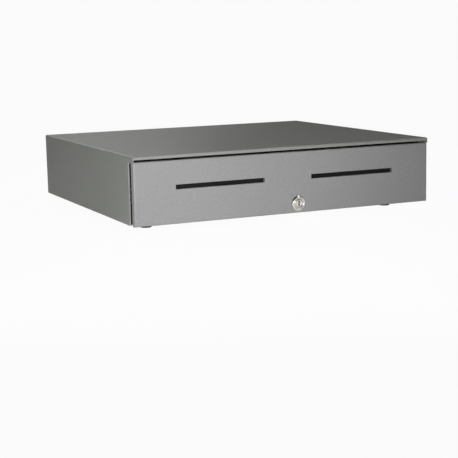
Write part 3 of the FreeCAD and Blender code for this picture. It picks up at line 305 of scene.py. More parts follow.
def moulded(name, rgb, size, depth, rough):
    """Moulded plastic from a spark-eroded tool: a fine even matt texture, a little uneven in its sheen."""
    def surface(tree, where):
        grain = grains(tree, where, size, 1.0)
        flow = grains(tree, where, 30 * MM, 2.0)
        bump = add(tree, "Bump", {"Height": grain, "Strength": 1.0, "Distance": depth}).outputs[0]
        return add(tree, "BsdfPrincipled", {
            "Base Color": shaded(tree, rgb, spread(tree, flow, 0.93, 1.07)), "IOR": 1.52,
            "Roughness": spread(tree, flow, rough - 0.06, rough + 0.06), "Normal": bump})
    return finish(name, surface)


def wave_scale(pitch):
    """The scale at which a wave texture repeats once in each pitch."""
    return TAU / 20 / pitch


def wound_copper(name, rgb, pitch):
    """Enamelled wire in even turns: a ripple across the coil with a warm varnish gloss, with painted shade
    in the troughs between turns and a painted highlight on their crests.
    """
    def surface(tree, where):
        # The wire is about 0.3 mm; its turns are drawn and modelled at the pitch given, so that they show.
        turns = add(tree, "TexWave", {"Vector": where, "Scale": wave_scale(pitch), "Distortion": 0.4},
                    bands_direction="Z").outputs["Fac"]
        bump = add(tree, "Bump", {"Height": turns, "Strength": 1.0, "Distance": 0.15 * MM}).outputs[0]
        # The colour follows the turns' bump: painted shade in the troughs, painted highlight on the crests.
        return add(tree, "BsdfPrincipled", {
            "Base Color": shaded(tree, rgb, spread(tree, turns, 0.7, 1.1, 0.0, 1.0)), "Metallic": 0.85,
            "Roughness": 0.34, "Normal": bump})
    return finish(name, surface)


def solder_mask(name, rgb, pitch):
    """Green mask over etched copper: tracks run one way in some patches and across in others."""
    def surface(tree, where):
        patch = add(tree, "TexVoronoi", {"Vector": where, "Scale": 0.12 / pitch},
                    distance="CHEBYCHEV").outputs["Color"]
        across = add(tree, "Math", {0: add(tree, "SeparateColor", {"Color": patch}).outputs[0], 1: 0.5},
                     operation="GREATER_THAN").outputs[0]
        runs = [add(tree, "TexWave", {"Vector": where, "Scale": wave_scale(pitch)},
                    bands_direction=axis).outputs["Fac"] for axis in "XZ"]
        wave = add(tree, "Mix", {0: across, 2: runs[0], 3: runs[1]}).outputs[0]
        track = spread(tree, wave, 0.0, 1.0, 0.62, 0.72)
        bump = add(tree, "Bump", {"Height": track, "Strength": 0.7, "Distance": 0.04 * MM}).outputs[0]
        return add(tree, "BsdfPrincipled", {
            "Base Color": shaded(tree, rgb, spread(tree, track, 0.8, 1.35, 0.0, 1.0)),
            "Roughness": 0.28, "IOR": 1.52, "Normal": bump})
    return finish(name, surface)


def make_finishes(values, wire):
    """Every finish on the drawer, by the slot that it fills."""
    grain, depth = values.paint_grain, values.grain_depth
    return {
        # The case's coat is the front's paint with painted shade: a little darker and more olive.
        "cover_paint": powder_coat("powder_coat_case_shaded_copy", values.cover, grain, depth, 0.07, 0.43),
        "front_paint": powder_coat("powder_coat_front", values.front, grain, depth, 0.07, 0.43),
        "pan_paint": powder_coat("powder_coat_base_pan", values.pan, grain, depth, 0.08, 0.55),
        "tray_paint": powder_coat("powder_coat_tray", values.tray, grain, depth, 0.08, 0.50),
        "zinc_rail": rolled_zinc("zinc_plate_on_rolled_strip", values.zinc, "Y", 0.27),
        "zinc_screw": rolled_zinc("zinc_plate_on_wire_stock", values.zinc, "Z", 0.24),
        "black_screw": moulded("black_oxide_on_steel", linear("1C1C1D"), 0.6 * MM, 0.01 * MM, 0.40),
        "folded_zinc": galvanised("galvanised_sheet", linear("AEB1B2"), 7 * MM),
        "rubber_black": moulded("moulded_rubber", linear("1B1B1B"), 0.9 * MM, 0.05 * MM, 0.78),
        # The nickel plate carries painted shade in its recesses.
        "lock_chrome": plated("nickel_plate_with_painted_recess_shade", linear("DAD7CF"), 0.19),
        "abs_black": moulded("textured_black_abs", values.till, 0.7 * MM, 0.03 * MM, 0.48),
        "cup_grey": moulded("textured_charcoal_abs", values.cups, 0.7 * MM, 0.03 * MM, 0.44),
        "weight_black": moulded("black_acetal", linear("2B2B2D"), 0.5 * MM, 0.01 * MM, 0.33),
        "spring_steel": rolled_zinc("drawn_spring_steel", linear("9A9B9A"), "Z", 0.30),
        "copper_coil": wound_copper("enamelled_copper_winding_painted_shade", linear("A4562B"), wire),
        "board_green": solder_mask("green_solder_mask", linear("1D5B38"), values.track),
        "switch_black": moulded("black_phenolic", linear("1A1A1A"), 0.5 * MM, 0.01 * MM, 0.36),
        "jack_black": moulded("black_nylon", linear("19191A"), 0.6 * MM, 0.01 * MM, 0.42),
        "lead_red": moulded("pvc_insulation", linear("A82A22"), 1.2 * MM, 0.01 * MM, 0.38),
        "acetal_white": moulded("natural_acetal", linear("E3E1D8"), 0.6 * MM, 0.01 * MM, 0.40),
    }


# ---------------------------------------------------------------- shaping
def toward(point, axis):
    """The move that takes the origin to point and +Z to axis."""
    turn = Vector((0, 0, 1)).rotation_difference(Vector(axis)).to_matrix().to_4x4()
    return Matrix.Translation(point) @ turn


def merge(bm, part, move=Matrix()):
    """Adds a moved copy of the bmesh part to bm."""
    mesh = bpy.data.meshes.new("part")
    part.to_mesh(mesh)
    mesh.transform(move)
    bm.from_mesh(mesh)
    bpy.data.meshes.remove(mesh)


def edges_in(geom):
    """The edges among what a bmesh operator returns."""
    return [e for e in geom if isinstance(e, bmesh.types.BMEdge)]


def verts_in(geom):
    """The corners among what a bmesh operator returns."""
    return [v for v in geom if isinstance(v, bmesh.types.BMVert)]


def turned(bm, profile, steps=48, ring=False):
    """Spins (radius, height) points round Z. A ring's profile closes on itself."""
    verts = [bm.verts.new((r, 0, z)) for r, z in profile]
    pairs = list(zip(verts, verts[1:])) + ([(verts[-1], verts[0])] if ring else [])
    edges = [bm.edges.new(pair) for pair in pairs]
    bmesh.ops.spin(bm, geom=verts + edges, cent=(0, 0, 0), axis=(0, 0, 1), dvec=(0, 0, 0), angle=TAU,
                   steps=steps, use_merge=True, use_duplicate=False)
    bmesh.ops.remove_doubles(bm, verts=bm.verts[:], dist=1e-7)


def soften(bm, width, segments=2):
    """Rounds every sharp edge."""
    edges = [e for e in bm.edges if len(e.link_faces) == 2 and e.calc_face_angle(0.0) > SHARP]
    bmesh.ops.bevel(bm, geom=edges, offset=width, offset_type="OFFSET", segments=segments, profile=0.5,
                    affect="EDGES", material=-1, clamp_overlap=True)


def block(bm, low, high, rounding=0.0, segments=2):
    """A box from corner to corner, with its edges rounded."""
    part = bmesh.new()
    bmesh.ops.create_cube(part, size=1.0)
    low, high = Vector(low), Vector(high)
    bmesh.ops.scale(part, vec=high - low, verts=part.verts[:])
    bmesh.ops.translate(part, vec=(low + high) / 2, verts=part.verts[:])
    if rounding:
        soften(part, rounding, segments)
    merge(bm, part)
    part.free()


def pierced(bm, rim, outline, level, depth, taper):
    """Closes the ring of edges rim with a face that has a recess of this outline in it."""
    verts = [bm.verts.new((x, y, level)) for x, y in outline]
    mouth = [bm.edges.new(pair) for pair in zip(verts, verts[1:] + verts[:1])]
    bmesh.ops.triangle_fill(bm, use_beauty=True, edges=rim + mouth, normal=(0, 0, 1))
    sunk = bmesh.ops.extrude_edge_only(bm, edges=mouth)["geom"]
    low = verts_in(sunk)
    bmesh.ops.translate(bm, vec=(0, 0, -depth), verts=low)
    bmesh.ops.scale(bm, vec=(taper, taper, 1), verts=low)
    floor = [e for e in edges_in(sunk) if all(v in low for v in e.verts)]
    bmesh.ops.edgeloop_fill(bm, edges=floor)


def ring_at(bm, level, radius):
    """The edges of a spun part's circle at this level and radius."""
    def on(v):
        return abs(v.co.z - level) < 1e-6 and abs(v.co.to_2d().length - radius) < 1e-6
    return [e for e in bm.edges if all(on(v) for v in e.verts)]


def piece(name, bm, body, slot, stands_for=()):
    """A finished object made of a bmesh, attached to its body if it has one."""
    bmesh.ops.remove_doubles(bm, verts=bm.verts[:], dist=1e-7)
    bmesh.ops.recalc_face_normals(bm, faces=bm.faces[:])
    mesh = bpy.data.meshes.new(name)
    bm.to_mesh(mesh)
    bm.free()
    mesh.polygons.foreach_set("use_smooth", [True] * len(mesh.polygons))
    mesh.set_sharp_from_angle(angle=math.radians(38))
    obj = bpy.data.objects.new(name, mesh)
    bpy.context.scene.collection.objects.link(obj)
    mesh.materials.append(FINISHES[slot])
    if body:
        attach(obj, body)
    if stands_for:
        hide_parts(*stands_for)
    return obj


def solids(node):
    """The corner points of each separate solid in a CAD node, from a merged copy of its mesh."""
    bm = bmesh.new()
    bm.from_mesh(frame["nodes"][node].data)
    bmesh.ops.remove_doubles(bm, verts=bm.verts[:], dist=1e-6)
    left, found = set(bm.verts), []
    for first in bm.verts:
        if first not in left:
            continue
        left.remove(first)
        group, edge = [first], [first]
        while edge:
            here = edge.pop()
            near = {e.other_vert(here) for e in here.link_edges} & left
            left -= near
            group += near
            edge += near
        found.append([v.co.copy() for v in group])
    bm.free()
    return found


# ---------------------------------------------------------------- cover
class DRAWER_OT_cover(bpy.types.Operator):
    """Folds a tab down at each end of the cover's lip, so that no light shows through the gap's ends"""

    bl_idname = "drawer.cover"
    bl_label = "Cover tabs"

    def execute(self, context):
        values = context.scene.drawer_cover
        low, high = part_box("case_cover")
        front_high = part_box("drawer_front")[1]
        gap = 0.8 * MM  # from the drawer front up to the cover's sides
        edge = front_high.z + gap
        sides = [v.co.y for v in frame["nodes"]["case_cover"].data.vertices
                 if v.co.z < front_high.z and v.co.x > high.x - 0.1 * MM]
        behind, rear = front_high.y + values.clearance, min(sides)
        shallow, deep = front_high.z + values.clearance, front_high.z - values.overlap
        profile = [(low.y, edge), (low.y, shallow), (behind, shallow), (behind, deep), (rear, deep),
                   (rear, edge)]
        tabs = bmesh.new()
        for x in (low.x, high.x - values.sheet):
            tab = bmesh.new()
            plate(tab, [profile], x, x + values.sheet)
            merge(tabs, tab, Matrix(((0, 0, 1, 0), (1, 0, 0, 0), (0, 1, 0, 0), (0, 0, 0, 1))))
            tab.free()
        piece("cover_gap_tabs", tabs, "case", "cover_paint")
        return {"FINISHED"}


# ---------------------------------------------------------------- screws
def cross_outline(span, half):
    """A cross whose wings reach as far as span and are twice half wide."""
    quarter = [(span, -half), (span, half), (half, half)]
    return [(x * c - y * s, x * s + y * c) for c, s in ((1, 0), (0, 1), (-1, 0), (0, -1))
            for x, y in quarter]


def cross_screw(head_r, head_h, shank_r, reach, values):
    """A pan-head screw down -Z from its seat, with a cross recess and a rolled thread."""
    bm = bmesh.new()
    core, rim, tip = 0.8 * shank_r, 0.72 * head_r, -reach + 0.4 * MM
    turned(bm, [(0, -reach), (0.7 * core, -reach), (core, tip), (core, 0), (head_r, 0),
                (head_r, 0.45 * head_h), (0.94 * head_r, 0.72 * head_h), (0.84 * head_r, 0.9 * head_h),
                (rim, head_h)], steps=24)
    recess = cross_outline(min(values.recess, 0.8 * rim), values.recess_width / 2)
    pierced(bm, ring_at(bm, head_h, rim), recess, head_h, 0.75 * head_h, 0.45)
    pitch, steps = values.pitch, 12
    turns = int((reach - 1.2 * pitch) / pitch)
    if turns > 0:
        corners = [bm.verts.new(c) for c in ((0.9 * core, 0, tip), (shank_r, 0, tip + 0.35 * pitch),
                                             (0.9 * core, 0, tip + 0.7 * pitch))]
        edges = [bm.edges.new(pair) for pair in zip(corners, corners[1:] + corners[:1])]
        bm.faces.new(corners)
        end = bmesh.ops.spin(bm, geom=corners + edges, cent=(0, 0, 0), axis=(0, 0, 1),
                             dvec=(0, 0, pitch / steps), angle=TAU * turns, steps=steps * turns,
                             use_merge=False, use_duplicate=False)["geom_last"]
        bmesh.ops.edgeloop_fill(bm, edges=edges_in(end))
    return bm


class DRAWER_OT_screws(bpy.types.Operator):
    """Turns the plain screws into cross-recessed ones with a rolled thread"""

    bl_idname = "drawer.screws"
    bl_label = "Screws"

    def execute(self, context):
        values = context.scene.drawer_screws
        head_h = 2.0 * MM
        for node, body in (("case_screws", "case"), ("foot_screws", "case"), ("front_screws", "drawer")):
            together = bmesh.new()
            for points in solids(node):
                low = Vector(min(p[n] for p in points) for n in range(3))
                high = Vector(max(p[n] for p in points) for n in range(3))
                size, middle = high - low, (low + high) / 2
                spans = sorted(size)
                along = max(range(3), key=lambda n: abs(size[n] - spans[1]))
                # The head is at the end where the solid is wider.
                ends = {}
                for sign, level in ((-1, low[along]), (1, high[along])):
                    near = [p - middle for p in points if abs(p[along] - level) < 0.2 * MM]
                    ends[sign] = max(math.sqrt(p.length_squared - p[along] ** 2) for p in near)
                head = max(ends, key=ends.get)
                axis = Vector([head if n == along else 0 for n in range(3)])
                head_r = (spans[1] if size[along] > spans[0] else spans[0]) / 2
                seat = middle.copy()
                seat[along] = (high if head > 0 else low)[along] - head * head_h
                screw = cross_screw(head_r, head_h, ends[-head], size[along] - head_h, values)
                merge(together, screw, toward(seat, axis))
                screw.free()
            piece(node.replace("screws", "cross_screws"), together, body, SLOTS[node], (node,))
        return {"FINISHED"}


# ---------------------------------------------------------------- lock
class DRAWER_OT_lock(bpy.types.Operator):
    """Turns the lock's housing and plug, with its thread, face groove and keyway"""

    bl_idname = "drawer.lock"
    bl_label = "Lock"

    def execute(self, context):
        values = context.scene.drawer_lock
        low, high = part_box("lock_body")
        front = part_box("drawer_front")[0].y
        centre = Vector(((low.x + high.x) / 2, front, (low.z + high.z) / 2))
        outward = toward(centre, (0, -1, 0))
        cap_r, cap_h, rear = (high.x - low.x) / 2, front - low.y, front - high.y
        bore, barrel, flat_at = 6.3 * MM, 9.3 * MM, 8.5 * MM
        bevel, cut, thread_depth = 0.5 * MM, 0.35 * MM, 0.5 * MM
        edge, groove = cap_r - values.chamfer, values.groove
        inner = bore + 1.5 * MM
        housing = bmesh.new()
        turned(housing, [(bore, 0), (cap_r, 0), (cap_r, cap_h - values.chamfer), (edge, cap_h),
                         (inner + groove, cap_h), (inner + 0.8 * groove, cap_h - cut),
                         (inner + 0.2 * groove, cap_h - cut), (inner, cap_h),
                         (bore + bevel, cap_h), (bore, cap_h - bevel)], 96, ring=True)
        soften(housing, 0.12 * MM)
        thread = bmesh.new()
        turns = int((-rear - 3 * MM) / values.pitch)
        flanks = [(barrel - thread_depth * (n % 2), rear + (n + 1) * values.pitch / 2)
                  for n in range(2 * turns)]
        # The threaded barrel reaches a little way into the cap, so that the two meet.
        inside, root = bore + 0.05 * MM, 0.5 * MM
        turned(thread, [(inside, rear), (barrel - 0.6 * MM, rear)] + flanks
               + [(barrel, root), (inside, root)], 72, ring=True)
        for side in (-1, 1):
            flat = bmesh.ops.bisect_plane(thread, geom=thread.verts[:] + thread.edges[:] + thread.faces[:],
                                          plane_co=(side * flat_at, 0, 0), plane_no=(side, 0, 0),
                                          clear_outer=True)["geom_cut"]
            bmesh.ops.edgeloop_fill(thread, edges=edges_in(flat))
        merge(housing, thread)
        thread.free()
        bmesh.ops.transform(housing, matrix=outward, verts=housing.verts[:])
        piece("lock_housing", housing, "drawer", "lock_chrome", ("lock_body",))

        plug_low, plug_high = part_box("lock_plug")
        face, plug_r = front - plug_low.y, (plug_high.x - plug_low.x) / 2
        # The plug is round as far back as the housing, and square behind it, where the cam sits.
        tail, shoulder = front - plug_high.y, rear
        plug = bmesh.new()
        # A fine groove is turned round its face, between ring_r and mouth_r.
        ring_r, mouth_r = plug_r - 0.9 * MM, plug_r - 0.9 * MM - 0.5 * MM
        floor = face - 0.3 * MM
        turned(plug, [(0, shoulder), (plug_r, shoulder), (plug_r, face - 0.6 * MM),
                      (plug_r - 0.2 * MM, face - 0.2 * MM), (ring_r, face), (ring_r - 0.1 * MM, floor),
                      (ring_r - 0.4 * MM, floor), (mouth_r, face)], 72)
        x, z, ward = values.key_width / 2, values.key_height / 2, 0.55 * MM
        keyway = [(-x, -z), (x, -z), (x, -0.45 * z), (x - ward, -0.38 * z), (x - ward, -0.1 * z),
                  (x, -0.02 * z), (x, z), (-x, z), (-x, 0.5 * z), (ward - x, 0.42 * z),
                  (ward - x, 0.2 * z), (-x, 0.12 * z)]
        pierced(plug, ring_at(plug, face, mouth_r), keyway, face, 7 * MM, 1.0)
        square = 2.5 * MM
        block(plug, (-square, -square, tail), (square, square, shoulder + root), 0.2 * MM)
        # The keyway's height runs up the drawer, so the plug is built with +Y up before it is turned.
        upright = Matrix.Rotation(math.pi if (outward.to_3x3() @ Vector((0, 1, 0))).z < 0 else 0.0, 4, "Z")
        bmesh.ops.transform(plug, matrix=outward @ upright, verts=plug.verts[:])
        piece("lock_cylinder", plug, "lock_turning", "lock_chrome", ("lock_plug",))
        return {"FINISHED"}


# ---------------------------------------------------------------- electrical parts
def circle(radius, x=0.0, y=0.0, steps=24):
    """The outline of a circle round (x, y)."""
    angles = [TAU * n / steps for n in range(steps)]
    return [(x + radius * math.cos(a), y + radius * math.sin(a)) for a in angles]


def rounded_rectangle(low, high, radius, steps=6):
    """The outline of a rectangle from corner to corner with round corners."""
    middles = ((high[0] - radius, high[1] - radius), (low[0] + radius, high[1] - radius),
               (low[0] + radius, low[1] + radius), (high[0] - radius, low[1] + radius))
    spokes = [(x, y, TAU / 4 * (n + k / steps)) for n, (x, y) in enumerate(middles)
              for k in range(steps + 1)]
    return [(x + radius * math.cos(a), y + radius * math.sin(a)) for x, y, a in spokes]


def plate(bm, outlines, low, high):
    """A flat plate between two levels of Z. The first outline is its edge and the others are holes."""
    part, edges = bmesh.new(), []
    for outline in outlines:
        verts = [part.verts.new((x, y, low)) for x, y in outline]
        edges += [part.edges.new(pair) for pair in zip(verts, verts[1:] + verts[:1])]
    bmesh.ops.triangle_fill(part, use_beauty=True, edges=edges, normal=(0, 0, -1))
    raised = bmesh.ops.extrude_face_region(part, geom=part.faces[:])["geom"]
    bmesh.ops.translate(part, vec=(0, 0, high - low), verts=verts_in(raised))
    merge(bm, part)
    part.free()


def bent_wire(bm, path, radius, sides=8):
    """One closed tube along a path of straight runs, mitred at each bend."""
    points = [Vector(point) for point in path]
    runs = [(b - a).normalized() for a, b in zip(points, points[1:])]
    across = runs[0].orthogonal().normalized()
    rings = []
    for n, point in enumerate(points):
        before, after = runs[max(n - 1, 0)], runs[min(n, len(runs) - 1)]
        across = (across - across.dot(before) * before).normalized()
        up = before.cross(across)
        mitre = (before + after).normalized()
        ring = []
        for k in range(sides):
            spoke = radius * (math.cos(TAU * k / sides) * across + math.sin(TAU * k / sides) * up)
            ring.append(bm.verts.new(point + spoke - before * (spoke.dot(mitre) / before.dot(mitre))))
        rings.append(ring)
    for a, b in zip(rings, rings[1:]):
        for k in range(sides):
            bm.faces.new((a[k - 1], a[k], b[k], b[k - 1]))
    bm.faces.new(rings[0])
    bm.faces.new(rings[-1])


def bent_lead(bm, start, rise, span, radius):
    """A component's lead: up from the board, over its body, and down again."""
    x, y = start
    corner = 0.3 * rise
    bent_wire(bm, [(x, y, 0), (x, y, rise - corner), (x + corner, y, rise),
                   (x + span - corner, y, rise), (x + span, y, rise - corner), (x + span, y, 0)], radius)


class DRAWER_OT_board(bpy.types.Operator):
    """Builds the circuit board with its header, relay, capacitor, diodes and chip"""

    bl_idname = "drawer.board"
    bl_label = "Interface board"

    def execute(self, context):
        values = context.scene.drawer_board
        low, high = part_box("interface_board")
        # On the plan of the board: X runs along it, Y runs up it, and Z comes out of its face.
        face = high.y - values.stand - values.sheet
        place = Matrix(((1, 0, 0, low.x), (0, 0, -1, face), (0, 1, 0, low.z), (0, 0, 0, 1)))
        width, height = high.x - low.x, high.z - low.z
        inset = 6 * MM
        posts = [(inset, height - inset), (width - inset, height - inset)]
        can_place = (50 * MM, 14 * MM, 0)
        diode_rows, diode_rise = [(7 + 4.2 * n) * MM for n in range(3)], 1.7 * MM
        pin_pitch = 2.54  # in millimetres

        def made(name, slot, build):
            """One object on the board, from a function that shapes it on the board's plan."""
            bm = bmesh.new()
            build(bm)
            bmesh.ops.transform(bm, matrix=place, verts=bm.verts[:])
            return piece(name, bm, "case", slot)

        def sheet(bm):
            """The board, with its screw holes and a row of plated holes."""
            holes = [circle(1.6 * MM, x, y) for x, y in posts]
            holes += [circle(0.45 * MM, (30 + pin_pitch * n) * MM, 3.2 * MM, 10) for n in range(9)]
            plate(bm, [rounded_rectangle((0, 0), (width, height), 2 * MM)] + holes, -values.sheet, 0)

        def header(bm):
            """A shrouded header with its key."""
            x0, x1, y0, y1, top = 4 * MM, 18 * MM, 3 * MM, 10 * MM, 7.4 * MM
            wall = rounded_rectangle((x0, y0), (x1, y1), 0.4 * MM, 2)
            mouth = rounded_rectangle((x0 + MM, y0 + MM), (x1 - MM, y1 - MM), 0.2 * MM, 2)
            plate(bm, [wall], 0, top)
            lid = [f for f in bm.faces if all(abs(v.co.z - top) < 0.01 * MM for v in f.verts)]
            bmesh.ops.delete(bm, geom=lid, context="FACES")
            pierced(bm, [e for e in bm.edges if e.is_boundary], mouth, top, top - 2.4 * MM, 1.0)
            block(bm, (x0 + 5 * MM, y1 - 0.2 * MM, 0), (x0 + 9 * MM, y1 + 0.8 * MM, 5.6 * MM), 0.15 * MM)

        def can(bm):
            """The capacitor's sleeve, with a bead rolled in it near the board."""
            turned(bm, [(0, 0), (3.7 * MM, 0), (4 * MM, 0.3 * MM), (4 * MM, 1.5 * MM),
                        (3.6 * MM, 1.9 * MM), (3.6 * MM, 2.3 * MM), (4 * MM, 2.7 * MM),
                        (4 * MM, 10.9 * MM), (3.6 * MM, 11.3 * MM), (3.1 * MM, 11.3 * MM),
                        (3.1 * MM, 11.0 * MM), (0, 11.0 * MM)], 32)
            bmesh.ops.translate(bm, vec=can_place, verts=bm.verts[:])

        def can_top(bm):
            """The capacitor's bare metal top, with its scored vent."""
            top, rim = 11.3 * MM, 2.9 * MM
            turned(bm, [(0, 11.0 * MM), (3.1 * MM, 11.0 * MM), (3.1 * MM, 11.2 * MM), (rim, top)], 32)
            score = cross_outline(2.3 * MM, 0.12 * MM)
            pierced(bm, ring_at(bm, top, rim), score, top, 0.15 * MM, 0.95)
            bmesh.ops.translate(bm, vec=can_place, verts=bm.verts[:])

        def relay(bm):
            """The relay on its four feet."""
            block(bm, (20 * MM, 26 * MM, 0.4 * MM), (38 * MM, 38 * MM, 9.4 * MM), 0.6 * MM, 3)
            for x in (21 * MM, 36 * MM):
                for y in (27 * MM, 36 * MM):
                    block(bm, (x, y, 0), (x + MM, y + MM, 0.6 * MM), 0.1 * MM, 1)

        def bodies(bm):
            """Three diodes and a chip."""
            for y in diode_rows:
                diode = bmesh.new()
                turned(diode, [(0, -2.3 * MM), (0.9 * MM, -2.3 * MM), (1.2 * MM, -2 * MM),
                               (1.2 * MM, 2 * MM), (0.9 * MM, 2.3 * MM), (0, 2.3 * MM)], 20)
                merge(bm, diode, toward((27 * MM, y, diode_rise), (1, 0, 0)))
                diode.free()
            block(bm, (36 * MM, 8 * MM, 0.7 * MM), (42.4 * MM, 17.6 * MM, 3.8 * MM), 0.35 * MM)

        def leads(bm):
            """The diodes' leads and the chip's pins, each a shoulder and a leg."""
            for y in diode_rows:
                bent_lead(bm, (22 * MM, y), diode_rise, 10 * MM, 0.3 * MM)
            for n in range(4):
                near, far = (8.9 + pin_pitch * n) * MM, (9.5 + pin_pitch * n) * MM
                for x0, x1 in ((34.7, 36.2), (42.2, 43.7)):
                    block(bm, (x0 * MM, near, 1.9 * MM), (x1 * MM, near + 0.6 * MM, 2.2 * MM), 0.05 * MM, 1)
                for x in (34.7, 43.4):
                    block(bm, (x * MM, near, 0), ((x + 0.3) * MM, far, 2.1 * MM), 0.05 * MM, 1)

        def spacers(bm):
            """A hollow spacer behind each screw hole."""
            for x, y in posts:
                post = bmesh.new()
                turned(post, [(1.7 * MM, 0), (2.8 * MM, 0), (3 * MM, 0.2 * MM),
                              (3 * MM, values.stand - 0.2 * MM), (2.8 * MM, values.stand),
                              (1.7 * MM, values.stand)], 32, ring=True)
                merge(bm, post, Matrix.Translation((x, y, -values.sheet - values.stand)))
                post.free()

        def screws(bm):
            """The screws that hold the board on its spacers."""
            for x, y in posts:
                screw = cross_screw(2.6 * MM, 1.8 * MM, 1.5 * MM, 8 * MM, context.scene.drawer_screws)
                merge(bm, screw, Matrix.Translation((x, y, 0)))
                screw.free()

        parts = (("board_sheet", "board_green", sheet),
                 ("board_header", "acetal_white", header),
                 ("board_capacitor", "switch_black", can),
                 ("board_capacitor_top", "zinc_screw", can_top),
                 ("board_relay", "jack_black", relay),
                 ("board_chips", "switch_black", bodies),
                 ("board_leads", "zinc_screw", leads),
                 ("board_spacers", "acetal_white", spacers),
                 ("board_screws", "zinc_screw", screws))
        for name, slot, build in parts:
            obj = made(name, slot, build)
            if build is sheet:
                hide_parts("interface_board")
        return {"FINISHED"}


class DRAWER_OT_socket(bpy.types.Operator):
    """Fits the spring contacts in the modular socket"""

    bl_idname = "drawer.socket"
    bl_label = "Socket contacts"

    def execute(self, context):
        pitch = context.scene.drawer_board.contact_pitch
        low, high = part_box("interface_jack")
        middle, rear = (low.x + high.x) / 2, high.y
        ceiling = (low.z + high.z) / 2 + 3.6 * MM
        wires = bmesh.new()
        for n in range(6):
            x = middle + (n - 2.5) * pitch
            # Each runs under the ceiling to the mouth, turns there, and slopes back as the spring.
            bent_wire(wires, [(x, rear - 10.8 * MM, ceiling - 0.35 * MM),
                              (x, rear - 2.2 * MM, ceiling - 0.35 * MM),
                              (x, rear - 1.6 * MM, ceiling - 0.7 * MM),
                              (x, rear - 2.0 * MM, ceiling - 1.2 * MM),
                              (x, rear - 9.5 * MM, ceiling - 3.4 * MM)], 0.22 * MM)
        piece("jack_contacts", wires, "case", "lock_chrome")
        return {"FINISHED"}


class DRAWER_OT_coil(bpy.types.Operator):
    """Winds the solenoid: a moulded bobbin and its layers of wire"""

    bl_idname = "drawer.coil"
    bl_label = "Solenoid coil"

    def execute(self, context):
        low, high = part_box("solenoid_coil")
        centre = Vector(((low.x + high.x) / 2, (low.y + high.y) / 2, 0))
        rim, bore = (high.x - low.x) / 2, 4.8 * MM
        wound, edge = rim - 0.3 * MM, 0.2 * MM
        bobbin = bmesh.new()
        turned(bobbin, [(bore, low.z + 3 * MM), (0, low.z + 3 * MM), (0, low.z), (rim - edge, low.z),
                        (rim, low.z + edge), (rim, low.z + 1.3 * MM), (rim - edge, low.z + 1.5 * MM),
                        (bore + MM, low.z + 1.5 * MM), (bore + MM, high.z - 1.5 * MM),
                        (rim - edge, high.z - 1.5 * MM), (rim, high.z - 1.3 * MM), (rim, high.z - edge),
                        (rim - edge, high.z), (bore + 0.3 * MM, high.z), (bore, high.z - 0.3 * MM)],
               64, ring=True)
        bmesh.ops.translate(bobbin, vec=centre, verts=bobbin.verts[:])
        piece("coil_bobbin", bobbin, "case", "acetal_white", ("solenoid_coil",))
        winding = bmesh.new()
        pitch = context.scene.drawer_board.wire
        start, end = low.z + 1.6 * MM, high.z - 1.6 * MM
        turns = int((end - start) / pitch)
        steps, inner = 6, bore + 1.2 * MM
        crests = [(wound - pitch / 4 * (1 - math.sin(TAU * n / steps)), start + pitch * n / steps)
                  for n in range(steps * turns + 1)]
        turned(winding, [(inner, start)] + crests + [(inner, start + pitch * turns)], 64, ring=True)
        bmesh.ops.translate(winding, vec=centre, verts=winding.verts[:])
        piece("coil_winding", winding, "case", "copper_coil")
        return {"FINISHED"}


# ---------------------------------------------------------------- pusher
class DRAWER_OT_pusher(bpy.types.Operator):
    """Winds the pusher's spring between its bracket and the pusher's head, at one length; the real spring
    lengthens as the pusher moves
    """

    bl_idname = "drawer.pusher"
    bl_label = "Pusher spring"

    def execute(self, context):
        values = context.scene.drawer_pusher
        low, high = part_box("kick_spring")
        middle, half = (low + high) / 2, values.wire / 2
        radius = (high.x - low.x) / 2 - half
        front, rear = low.y + half, high.y - half
        count = values.turns * values.steps
        path = [(middle.x + radius * math.cos(TAU * n / values.steps),
                 rear + (front - rear) * n / count,
                 middle.z + radius * math.sin(TAU * n / values.steps)) for n in range(count + 1)]
        spring = bmesh.new()
        bent_wire(spring, path, half, 12)
        obj = piece("kick_coil", spring, None, SLOTS["kick_spring"], ("kick_spring",))
        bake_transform(obj)
        return {"FINISHED"}


# ---------------------------------------------------------------- stage
def aimed(obj, place, target):
    """Puts a lamp or the camera at place, looking at target."""
    direction = Vector(target) - Vector(place)
    turn = direction.to_track_quat("-Z", "Y").to_matrix().to_4x4()
    obj.matrix_world = Matrix.Translation(place) @ turn
    bpy.context.scene.collection.objects.link(obj)


def soft_lamp(name, watts, place, target, width, height, spread_angle=180):
    """A soft box, which a grid over its front can narrow to the angle given."""
    lamp = bpy.data.lights.new(name, "AREA")
    lamp.spread = math.radians(spread_angle)
    lamp.shape = "RECTANGLE"
    lamp.size = width
    lamp.size_y = height
    lamp.energy = watts
    obj = bpy.data.objects.new(name, lamp)
    obj.visible_camera = False
    aimed(obj, place, target)


def paper(rgb):
    """White paper sweep. Seen straight it is near white, and so it is in reflections before the drawer."""
    def surface(tree, where):
        path = add(tree, "LightPath").outputs
        depth = add(tree, "SeparateXYZ", {0: where}).outputs[1]
        front = add(tree, "MapRange", {"Value": depth, "From Min": 0.0, "From Max": -0.3}).outputs[0]
        mirror = add(tree, "Math", {0: path["Is Glossy Ray"], 1: front}, operation="MULTIPLY").outputs[0]
        seen = add(tree, "Math", {0: path["Is Camera Ray"], 1: mirror}, operation="MAXIMUM").outputs[0]
        fibre = grains(tree, where, 3 * MM, 2.0)
        matt = add(tree, "BsdfDiffuse", {"Color": shaded(tree, rgb, spread(tree, fibre, 0.99, 1.01))})
        white = add(tree, "Emission", {"Color": four((1.0,) * 3), "Strength": 1.0})
        share = add(tree, "Math", {0: seen, 1: 0.96}, operation="MULTIPLY").outputs[0]
        return add(tree, "MixShader", {0: share, 1: matt.outputs[0], 2: white.outputs[0]})
    return finish("paper_sweep", surface)


